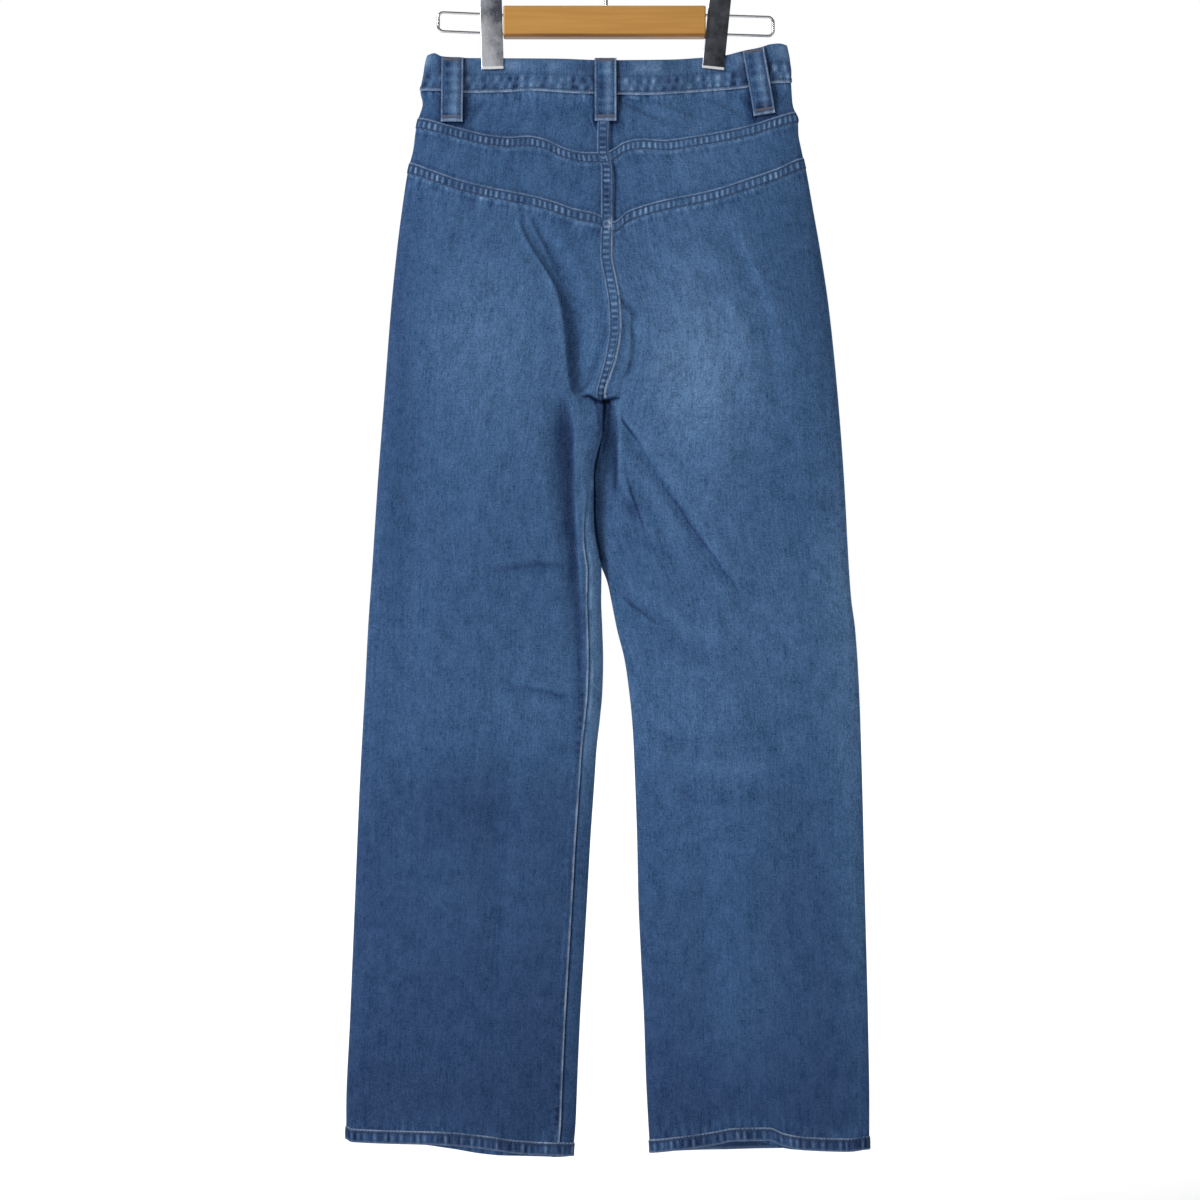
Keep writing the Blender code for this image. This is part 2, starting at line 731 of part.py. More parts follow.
def wire_object(name, points, radius, finish, collection, resolution=2):
    """A round wire along a path, with filled ends."""
    curve = bpy.data.curves.new(name, "CURVE")
    curve.dimensions = "3D"
    curve.bevel_depth = radius * MM
    curve.bevel_resolution = resolution
    curve.use_fill_caps = True
    spline = curve.splines.new("POLY")
    spline.points.add(len(points) - 1)
    for knot, (x, y, z) in zip(spline.points, points):
        knot.co = (x * MM, y * MM, z * MM, 1.0)
    return finish_object(bpy.data.objects.new(name, curve), finish, collection)


def arc(centre_x, centre_z, radius, start, end, count):
    """Points of an arc in the XZ plane, its angles in degrees from +X towards +Z."""
    angles = [math.radians(start + (end - start) * i / (count - 1)) for i in range(count)]
    return [(centre_x + radius * math.cos(a), 0.0, centre_z + radius * math.sin(a)) for a in angles]


def hanger_hook(finish, collection):
    """A stem that leans out to the right, then the crown. The origin is on the crown's inside."""
    radius = HOOK_INNER_RADIUS + HOOK_WIRE_RADIUS
    turn = math.radians(HOOK_LEAN)
    crown = arc(0.0, -HOOK_INNER_RADIUS, radius, -HOOK_LEAN, HOOK_TIP_ANGLE, 19)
    start_x, _y, start_z = crown[0]
    neck_x = HOOK_NECK_RADIUS * (1.0 - math.cos(turn))
    lean_length = (start_x - neck_x) / math.sin(turn)
    neck_foot_z = start_z - lean_length * math.cos(turn) - HOOK_NECK_RADIUS * math.sin(turn)
    neck = arc(HOOK_NECK_RADIUS, neck_foot_z, HOOK_NECK_RADIUS, 180.0, 180.0 - HOOK_LEAN, 5)
    stem = [(0.0, 0.0, BAR_TOP_Z + SEAM_GAP)]
    return wire_object("hanger_hook", stem + neck + crown, HOOK_WIRE_RADIUS, finish, collection)


def hanger_bar(finish, collection):
    mesh = bpy.data.meshes.new("hanger_bar")
    block = bmesh.new()
    bmesh.ops.create_cube(block, size=1.0)
    size = Matrix.Diagonal((BAR_WIDTH * MM, BAR_DEPTH * MM, BAR_HEIGHT * MM, 1.0))
    bmesh.ops.transform(block, matrix=size, verts=block.verts)
    block.to_mesh(mesh)
    block.free()
    obj = finish_object(bpy.data.objects.new("hanger_bar", mesh), finish, collection)
    obj.location = (BAR_CENTRE_X * MM, 0.0, (BAR_TOP_Z - BAR_HEIGHT / 2) * MM)
    bevel = obj.modifiers.new("rounded edges", "BEVEL")
    bevel.width = BAR_BEVEL * MM
    bevel.segments = 2
    return obj


def hanger_rail(side, finish, collection):
    """A U of wire out of the bar's end: two level runs joined by a rounded end."""
    way = -1.0 if side == LEFT else 1.0
    start = BAR_CENTRE_X + way * (BAR_WIDTH / 2 + SEAM_GAP)
    turn = RAIL_ENDS[side] - way * RAIL_CORNER
    high, low = (WAIST_Z - drop for drop in RAIL_DROPS)
    upper = arc(0.0, high - RAIL_CORNER, RAIL_CORNER, 90.0, 0.0, 5)
    lower = arc(0.0, low + RAIL_CORNER, RAIL_CORNER, 0.0, -90.0, 5)
    points = [(start, 0.0, high)]
    points += [(turn + way * x, 0.0, z) for x, _y, z in upper + lower]
    points += [(start, 0.0, low)]
    return wire_object(f"hanger_rail_{side}", points, WIRE_RADIUS, finish, collection)


def hanger_clip(side, finish, collection):
    """A folded strip of sheet metal: it hugs the rails, and its two jaws open over the waistband."""
    hug = WIRE_RADIUS + SEAM_GAP
    jaw = GRIP_HALF + BAND_OUT + SEAM_GAP
    tip, flare_low, flare_high, top = (
        -drop for drop in (CLIP_TIP_DROP, CLIP_FLARE_DROPS[1], CLIP_FLARE_DROPS[0], CLIP_TOP_DROP)
    )
    bend = [math.radians(20.0 * i) for i in range(10)]

    def half_path(off):
        straight = [(jaw + off, tip), (jaw + off, flare_low), (hug + off, flare_high), (hug + off, top)]
        crown = [((hug + off) * math.cos(a), top + (hug + off) * math.sin(a)) for a in bend[1:-1]]
        other = [(-y, z) for y, z in reversed(straight)]
        return straight + crown + other

    outline = half_path(CLIP_SHEET) + half_path(0.0)[::-1]
    curve = bpy.data.curves.new(f"hanger_clip_{side}", "CURVE")
    curve.dimensions = "2D"
    curve.fill_mode = "BOTH"
    curve.extrude = CLIP_WIDTH / 2 * MM
    spline = curve.splines.new("POLY")
    spline.points.add(len(outline) - 1)
    for knot, (y, z) in zip(spline.points, outline):
        knot.co = (y * MM, z * MM, 0.0, 1.0)
    spline.use_cyclic_u = True
    obj = finish_object(bpy.data.objects.new(f"hanger_clip_{side}", curve), finish, collection)
    upright = Matrix(((0, 0, 1, 0), (1, 0, 0, 0), (0, 1, 0, 0), (0, 0, 0, 1)))
    lean = Matrix.Rotation(math.radians(CLIPS[side]["lean"]), 4, "Y")
    at = Matrix.Translation((CLIPS[side]["x"] * MM, 0.0, WAIST_Z * MM))
    obj.matrix_world = at @ lean @ upright
    return obj


def build():
    clear_scene()
    collection = bpy.data.collections.new("jeans_on_hanger")
    bpy.context.scene.collection.children.link(collection)
    denim = make_material("denim", DENIM)
    wood = make_material("wood", WOOD)
    chrome = make_material("chrome", CHROME)
    for side in (LEFT, RIGHT):
        back_panel(side, denim, collection)
        front_panel(side, denim, collection)
        yoke(f"yoke_upper_{side}", side, BAND_SEAM, UPPER_SEAM, 4, denim, collection)
        yoke(f"yoke_lower_{side}", side, UPPER_SEAM, LOWER_SEAM, 4, denim, collection)
        hanger_rail(side, chrome, collection)
        hanger_clip(side, chrome, collection)
    waistband(denim, collection)
    fly_flap(denim, collection)
    waist_button(chrome, collection)
    for name, place in BACK_LOOPS.items():
        belt_loop(name, BACK, place, denim, collection)
    for name, place in FRONT_LOOPS.items():
        belt_loop(name, FRONT, place, denim, collection)
    hanger_bar(wood, collection)
    hanger_hook(chrome, collection)


build()
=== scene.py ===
"""The look of straight-leg jeans that hang by two clips from a trouser hanger, seen from the back.

The form functions work in millimetres. X runs to the photo's right, Y away from the camera, and a
drop is a height below the waistband's top edge at the centre back. Meshes are written in metres.
"""

import math

import bmesh
import bpy
import numpy as np
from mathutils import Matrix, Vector


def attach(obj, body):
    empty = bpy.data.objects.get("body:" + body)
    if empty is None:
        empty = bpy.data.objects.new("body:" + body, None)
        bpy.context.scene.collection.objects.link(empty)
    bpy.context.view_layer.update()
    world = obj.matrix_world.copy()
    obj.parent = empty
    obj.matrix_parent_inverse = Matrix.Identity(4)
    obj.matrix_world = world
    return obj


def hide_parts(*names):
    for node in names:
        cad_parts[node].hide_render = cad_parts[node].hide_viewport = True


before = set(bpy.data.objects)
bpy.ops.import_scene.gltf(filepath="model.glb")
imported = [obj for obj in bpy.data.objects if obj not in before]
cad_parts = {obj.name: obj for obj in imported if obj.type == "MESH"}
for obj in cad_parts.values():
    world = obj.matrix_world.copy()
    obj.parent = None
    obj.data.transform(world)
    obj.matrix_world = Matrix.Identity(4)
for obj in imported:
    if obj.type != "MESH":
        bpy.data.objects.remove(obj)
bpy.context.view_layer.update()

# Heights, sizes and places in millimetres
MM = 0.001
WAIST_Z = -138.0
BAR_TOP_Z = -85.0
BAR_X, BAR_LONG, BAR_DEEP, BAR_HIGH = -1.5, 194.0, 14.0, 30.0
CAMERA = (-5.8, -2400.0, -656.4)
# Drops: where the trunk begins to part, the crotch, and a first guess of the hems
TRUNK_FROM, CROTCH, FOOT_GUESS = 200.0, 322.0, 1045.0
FORK_LENGTH = 38.0
FRONT_DIP = 9.0
# Half of what the jaws leave for the cloth, and how far from a clip's middle it stays pressed
GRIP_HALF, GRIP_FLAT = 2.3, 15.0
# How far the band stands out of the cloth, and into the waist, and how far its lapped end is lifted
BAND_OUT, BAND_IN, LAP_RISE = 0.9, 1.9, 3.1
# A felled seam's edges and rows of stitches from its line, and a hem's row above its foot
SEAM_TOP, SEAM_FOOT = -6.3, 4.9
STITCH_ROWS = (-3.8, 3.3)
HEM_ROW = 10.6
LOOP_HALF = 10.5
FLY_WIDE, FLY_HEM, FLY_FOOT = 36.0, 3.0, 168.0
# The strength of the surround's light
AMBIENT = 0.21
BACK, FRONT = -1.0, 1.0
LEFT, RIGHT = "left", "right"
# Where the irregular waves along a side's seams begin
SEAM_SEED = {LEFT: 1.0, RIGHT: 6.0}
CLIPS = {"left": {"x": -109.0, "lean": -1.6}, "right": {"x": 103.5, "lean": 5.9}}

# The silhouette's two outer edges: drop, x on the left, x on the right
OUTLINE = (
    (-16, -168, 173), (0, -171.8, 175.4), (20, -175.5, 177.5), (31, -178.2, 178.2), (42, -176, 179),
    (52, -178.6, 182.2), (58, -180.8, 184.3), (70, -183, 184.6), (86, -185, 187.4), (106, -190, 192),
    (144, -195.8, 198.7), (182, -200.6, 205.4), (240, -206.4, 214), (326, -213, 222.7),
    (403, -218.9, 228.5), (490, -224.6, 233.3), (518, -226.6, 235.4), (547, -228.5, 239.2),
    (605, -231.4, 242.9), (691, -236.2, 245.8), (806, -241, 248.6), (922, -245.8, 251.5),
    (1008, -249.4, 252.8), (1062, -249.4, 252.6),
)

# The centre seams down to the crotch, then the legs' inner edges: drop, x on the left, x on the right.
# Below the crotch the right leg runs behind the left one.
INSIDE = (
    (-16, 1, 1), (35, 1, 1), (89, 0, 0), (108, 3.8, 3.8), (156, 3.8, 3.8), (189, 2.9, 2.9), (217, 7.7, 7.7),
    (237, 10.6, 10.6), (259, 11.5, 11.5), (290, 6.7, 6.7), (303, 2.4, 2.4), (322, -3, -3), (331, -2, -4.5),
    (345, -2.4, -8), (361, -3.8, -12.5), (375, -7.8, -16.5), (394, -11.6, -20), (425, -11.9, -21),
    (442, -11.6, -20), (463, -9.3, -15), (476, -6.8, -10), (489, -4.3, -3.6), (502, -4.4, 1.4),
    (518, -4.6, 4.8), (547, -3.5, 10.6), (576, -2.7, 17.8), (605, -3.4, 22), (634, -6, 25),
    (662, -9.1, 26.6), (691, -11, 27.8), (749, -15, 29.8), (806, -18.2, 31), (864, -21.6, 33.6),
    (922, -25, 36.5), (979, -27.5, 38.4), (1018, -29, 40.4), (1062, -32, 42.6),
)
# Below the crotch, how far one leg's inner edge lies before the other's: drop, shift
INNER_SHIFT = (
    (322, 0), (335, 3), (361, 7), (394, 8.5), (463, 8), (489, 4.5), (520, 1.5), (560, 0),
)

# Half the depth of the hanging tube: drop, back, front
DEPTH = (
    (-16, 6.6, 6.6), (0, 7, 7), (35, 8.5, 8), (70, 12, 10.5), (110, 16, 13), (180, 21, 16), (260, 24, 17.5),
    (322, 22, 18), (400, 18.5, 18), (500, 17.5, 17), (700, 17, 16), (1062, 15.5, 15),
)

# Share of the ring by which the inseam lies on the back: drop, left leg, right leg
INSEAM = (
    (322, 0, 0), (352, 0.025, -0.02), (400, 0.095, -0.04), (490, 0.158, -0.06), (1062, 0.163, -0.08),
)

# Lines across the back: x, drop
WAIST_TOP = (
    (-180, -2), (-172, -4.6), (-165, -6.7), (-158, -3.8), (-150, -3), (-130, -2), (-50, -1.5), (0, 0),
    (60, -0.5), (100, -3), (114, -4.5), (130, -8.5), (149, -12.5), (158, -15.3), (166, -16), (173, -14.4),
    (180, -9),
)
BAND_SEAM = (
    (-182, 29), (-160, 29.2), (-132, 31), (-99, 30.5), (-70, 29), (-37, 31), (-10, 32), (36, 33),
    (76, 31.2), (101, 29.4), (132, 26.6), (155, 22), (182, 21.4),
)
UPPER_SEAM = (
    (-184, 61.6), (-146, 70), (-113, 77.8), (-92, 79.7), (-76, 78.7), (-60, 81.6), (-38, 91), (-20, 94.4),
    (1, 94.6), (8, 91), (18, 84.6), (35, 81.6), (56, 82.8), (80, 79.7), (109, 74.9), (141, 67.8),
    (163, 60.8), (188, 55.6),
)
LOWER_SEAM = (
    (-192, 104.6), (-169, 111.4), (-144, 120), (-118, 126.7), (-92, 132), (-70, 136.3), (-50, 142),
    (-30, 148.8), (-12, 152.6), (-1, 158), (4, 161.5), (10, 160.2), (20, 151.7), (35, 146), (57, 140),
    (81, 135.4), (105, 130), (138, 119.5), (163, 111), (194, 99.8),
)
HEM = {
    (LEFT, BACK): (
        (-250, 1036), (-244, 1039), (-150, 1042.6), (-117, 1046), (-88, 1050), (-60, 1052), (-30, 1052.4),
    ),
    (RIGHT, BACK): (
        (40, 1049.4), (72, 1046.6), (104, 1042), (124, 1038.4), (157, 1038), (171, 1043.4), (191, 1047),
        (233, 1048.4), (254, 1046),
    ),
    (LEFT, FRONT): (
        (-250, 1036), (-140, 1044), (-30, 1052.4),
    ),
    (RIGHT, FRONT): (
        (40, 1049.4), (110, 1049), (157, 1048), (254, 1046),
    ),
}

# Folds that run down the cloth. A trough's wall is crisp on one side, ending in an edge, and soft on
# the other. A negative depth is a ridge.
# face, leg, crisp side, ((drop, x of the bottom, depth, width to the left, width to the right), ...)
FOLDS = (
    # seat crease, upper
    (BACK, LEFT, "left", ((137, -78, 0, 5, 8), (157, -76, 3, 6, 9),
     (180, -63, 4.5, 7, 11), (216, -40.5, 7, 8.5, 15), (237, -33, 8.5, 10, 16), (265, -28, 9.5, 11, 15),
     (290, -26.5, 9, 11, 13), (311, -25, 6.5, 10, 10), (326, -20, 2, 8, 8), (338, -18, 0, 8, 8))),
    # seat crease, second
    (BACK, LEFT, "left", ((140, -69, 0, 4, 7), (154, -67, 2.2, 4, 8),
     (175, -56.5, 3, 5, 9), (196, -45, 2.4, 6, 9), (226, -33, 0, 6, 9))),
    # short nick above it
    (BACK, LEFT, "right", ((146, -92, 0, 7, 4), (170, -84, 1.2, 7, 4),
     (200, -70, 0, 7, 4))),
    # leg crease beside the crotch
    (BACK, LEFT, "right", ((316, -44, 0, 12, 6), (336, -38, 6, 15, 5),
     (359, -34.5, 10.5, 17, 5), (400, -34.5, 11, 14.5, 5), (429, -34, 10, 13, 5), (470, -31, 8, 12, 5),
     (499, -29.5, 6, 11, 4.5), (540, -26, 4, 11, 4.5), (600, -23, 2, 10, 4.5), (660, -24, 0, 10, 4.5))),
    # dimple left of the crotch
    (BACK, LEFT, "right", ((284, -8, 0, 5, 4), (300, -12, 3.4, 6, 4),
     (314, -17, 3.4, 6, 4), (324, -24, 0, 6, 4))),
    # crease left of the centre seam
    (BACK, LEFT, "right", ((196, -7, 0, 7, 3.5), (224, -4, 1.6, 8, 3.5),
     (262, 0.5, 1.8, 8, 3.5), (292, -5.5, 0, 6, 3.5))),
    # crease right of the centre seam
    (BACK, RIGHT, "left", ((222, 13, 0, 3, 6), (236, 20, 1.6, 3, 6),
     (246, 28, 1.6, 3, 6), (250, 27, 1.2, 3, 6), (262, 26.4, 1.2, 2.6, 7), (282, 25.8, 1.2, 2.6, 7),
     (300, 21.5, 1.4, 3, 7), (316, 14, 0, 4, 6))),
    # second line right of the centre seam
    (BACK, RIGHT, "right", ((258, 31, 0, 5, 4),
     (276, 33, 0.6, 6, 4), (298, 24, 0.8, 7, 4.5), (314, 13, 0, 5, 4))),
    # inner wall of the right leg
    (BACK, RIGHT, "right", ((324, 3, 0, 10, 6), (336, 5.5, 6, 12, 5),
     (360, 7.5, 8, 15, 5), (392, 7.5, 8, 16, 5), (412, 6, 6, 16, 6), (436, 2, 3, 14, 9),
     (470, -1, 0, 12, 14))),
    # fold in that wall
    (BACK, RIGHT, "left", ((328, -3, 0, 3, 4), (342, -3.5, 3, 3, 4.5),
     (370, -2, 3, 3.5, 5), (404, 0, 0, 3.5, 5))),
    # drag line across the right thigh
    (BACK, RIGHT, "right", ((338, 12, 0, 6, 3), (349, 17, 3, 7, 3),
     (373, 32, 3.6, 7, 3.2), (396, 48, 3, 7, 3.2), (419, 64, 3.2, 8, 3.4), (450, 84.5, 3.4, 8, 3.6),
     (482, 105, 2.6, 9, 4), (540, 140, 0, 10, 6))),
    # short line below it
    (BACK, RIGHT, "right", ((396, 9, 0, 5, 3), (412, 13, 3.2, 6, 3.2),
     (429, 25.5, 3, 7, 3.2), (450, 36, 2.2, 7, 3.4), (486, 52, 0, 8, 4))),
    # shade between them
    (BACK, RIGHT, "soft", ((380, 20, 0, 6, 6), (420, 34, 2.2, 9, 8),
     (470, 60, 2, 11, 9), (540, 96, 0, 12, 10))),
    # line at the top of the gap
    (BACK, RIGHT, "left", ((494, 4, 0, 4, 6), (506, 14, 2.6, 4, 7),
     (526, 30, 2.6, 4.5, 8), (550, 58, 0, 5, 8))),
    # outer trough of the right seat
    (BACK, RIGHT, "right", ((150, 112, 0, 14, 12), (180, 122, 2, 15, 12),
     (221, 139, 2.8, 16, 13), (260, 151, 2.8, 17, 14), (320, 163, 2.4, 18, 15), (400, 176, 1.6, 18, 15),
     (500, 192, 0.8, 18, 15), (560, 200, 0, 16, 14))),
    # shade in the right seat
    (BACK, RIGHT, "soft", ((168, 86, 0, 10, 10), (220, 100, 1.2, 11, 11),
     (320, 128, 1.6, 13, 13), (420, 146, 0, 14, 14))),
    # fall of the right thigh
    (BACK, RIGHT, "soft", ((300, 96, 0, 20, 20), (420, 106, -2.4, 24, 24),
     (600, 122, -2.4, 26, 26), (860, 140, 0, 26, 26))),
    # fall of the left thigh
    (BACK, LEFT, "soft", ((330, -120, 0, 24, 24), (500, -128, -2, 26, 26),
     (720, -138, -1.6, 26, 26), (960, -146, 0, 26, 26))),
    # outer line of the left leg
    (BACK, LEFT, "soft", ((240, -176, 0, 12, 12), (420, -188, 1.8, 14, 14),
     (700, -204, 1.6, 14, 14), (900, -212, 0, 14, 14))),
    # long soft line down the right leg
    (BACK, RIGHT, "soft", ((620, 70, 0, 12, 12),
     (720, 84, 1.8, 13, 15), (900, 98, 1.6, 14, 16), (1020, 104, 0.6, 14, 16))),
    # long soft line down the left leg
    (BACK, LEFT, "soft", ((640, -96, 0, 12, 12),
     (760, -104, 1.6, 14, 14), (960, -112, 1.2, 15, 15), (1040, -116, 0.4, 15, 15))),
    # pucker under the band, right 1
    (BACK, RIGHT, "left", ((36, 14, 0, 3, 6), (46, 30, 1.6, 3, 7),
     (60, 62, 1.2, 3.5, 8), (70, 92, 0, 4, 8))),
    # pucker under the band, right 2
    (BACK, RIGHT, "left", ((34, 34, 0, 3, 5), (42, 56, 1.4, 3, 6),
     (54, 92, 1.2, 3.5, 7), (62, 116, 0, 4, 7))),
    # pucker under the band, right 3
    (BACK, RIGHT, "left", ((32, 90, 0, 3, 5), (42, 112, 1.6, 3, 6),
     (56, 136, 1.2, 3.5, 7), (66, 152, 0, 4, 7))),
    # pucker under the band, left 1
    (BACK, LEFT, "right", ((33, -110, 0, 5, 3), (44, -118, 1.6, 6, 3),
     (60, -132, 0.8, 7, 3.5), (68, -140, 0, 7, 4))),
    # pucker under the band, left 2
    (BACK, LEFT, "right", ((33, -24, 0, 7, 4), (50, -16, 1.8, 9, 4),
     (76, -12, 1.2, 10, 5), (92, -12, 0, 10, 5))),
    # pucker between the yokes, left
    (BACK, LEFT, "soft", ((92, -92, 0, 6, 6), (104, -88, 1.2, 7, 7),
     (124, -80, 0.8, 7, 7), (140, -74, 0, 7, 7))),
    # pucker between the yokes, right
    (BACK, RIGHT, "soft", ((88, 60, 0, 6, 6), (104, 66, 1, 8, 8),
     (124, 76, 0.8, 8, 8), (140, 82, 0, 8, 8))),
    # line below the back yoke, left
    (BACK, LEFT, "soft", ((130, -138, 0, 9, 9), (165, -142, 1.2, 10, 10),
     (220, -150, 0, 10, 10))),
    # fold below the fly, left
    (FRONT, LEFT, "left", ((200, -20, 0, 12, 14), (280, -42, 4.5, 9, 15),
     (420, -66, 4.5, 10, 17), (560, -84, 0, 12, 16))),
    # fold below the fly, right
    (FRONT, RIGHT, "right", ((190, 30, 0, 14, 10), (270, 52, 5, 15, 8),
     (400, 80, 4, 16, 9), (520, 96, 0, 16, 12))),
    # crotch drag, left
    (FRONT, LEFT, "right", ((330, -12, 0, 7, 4), (360, -26, 4, 8, 4),
     (420, -60, 3.4, 9, 4.5), (500, -108, 2, 9, 5), (580, -146, 0, 10, 6))),
    # crotch drag, right
    (FRONT, RIGHT, "left", ((334, 8, 0, 4, 7), (372, 30, 4, 4, 8),
     (430, 66, 3.2, 4.5, 9), (490, 104, 1.8, 5, 9), (560, 146, 0, 6, 10))),
    # front leg crease, left
    (FRONT, LEFT, "soft", ((520, -120, 0, 9, 9), (640, -128, -2, 10, 10),
     (900, -142, -1.4, 10, 10), (1030, -148, 0, 10, 10))),
    # front leg crease, right
    (FRONT, RIGHT, "soft", ((520, 124, 0, 9, 9), (640, 132, -2, 10, 10),
     (900, 144, -1.4, 10, 10), (1030, 150, 0, 10, 10))),
)

# Creases that run across a leg: face, leg, ((x, drop, depth, width above, width below), ...)
CROSS_FOLDS = (
    (BACK, LEFT, ((-122, 492, 0, 3, 6), (-90, 487, 2, 3, 7), (-60, 484, 2.4, 3, 7), (-36, 486, 1, 3, 6))),
    (BACK, LEFT, ((-112, 598, 0, 3, 6), (-80, 602, 1.8, 3, 7), (-50, 608, 2.4, 3, 7),
     (-22, 613, 0.8, 3, 6))),
    (BACK, LEFT, ((-74, 652, 0, 3, 6), (-44, 656, 1.6, 3, 7), (-20, 664, 1.2, 3, 6))),
    (BACK, RIGHT, ((30, 642, 0, 4, 6), (64, 650, 1.8, 4, 8), (104, 664, 1.6, 4, 8), (140, 672, 0, 5, 6))),
    (BACK, RIGHT, ((36, 742, 0, 4, 6), (70, 736, 1.5, 4, 8), (118, 728, 0, 5, 6))),
    (BACK, RIGHT, ((-2, 326, 4, 2.2, 4), (6, 325, 4.6, 2.2, 4), (14, 322, 2.4, 2.4, 3.5),
     (20, 321, 0, 2.4, 3.5))),
    (BACK, LEFT, ((-24, 324, 0, 2.4, 3.5), (-18, 322, 2.8, 2.2, 4), (-10, 325, 4.6, 2.2, 4),
     (-3, 326, 4, 2.2, 4))),
    (FRONT, LEFT, ((-120, 520, 0, 4, 7), (-80, 512, 2.2, 4, 8), (-20, 520, 0.6, 4, 7))),
    (FRONT, LEFT, ((-150, 626, 0, 4, 7), (-100, 618, 1.8, 4, 8), (-60, 622, 0, 4, 7))),
    (FRONT, RIGHT, ((20, 560, 0, 4, 7), (70, 552, 2.2, 4, 8), (130, 560, 0, 4, 7))),
    (FRONT, RIGHT, ((60, 640, 0, 4, 7), (104, 632, 1.8, 4, 8), (156, 640, 0, 4, 7))),
)

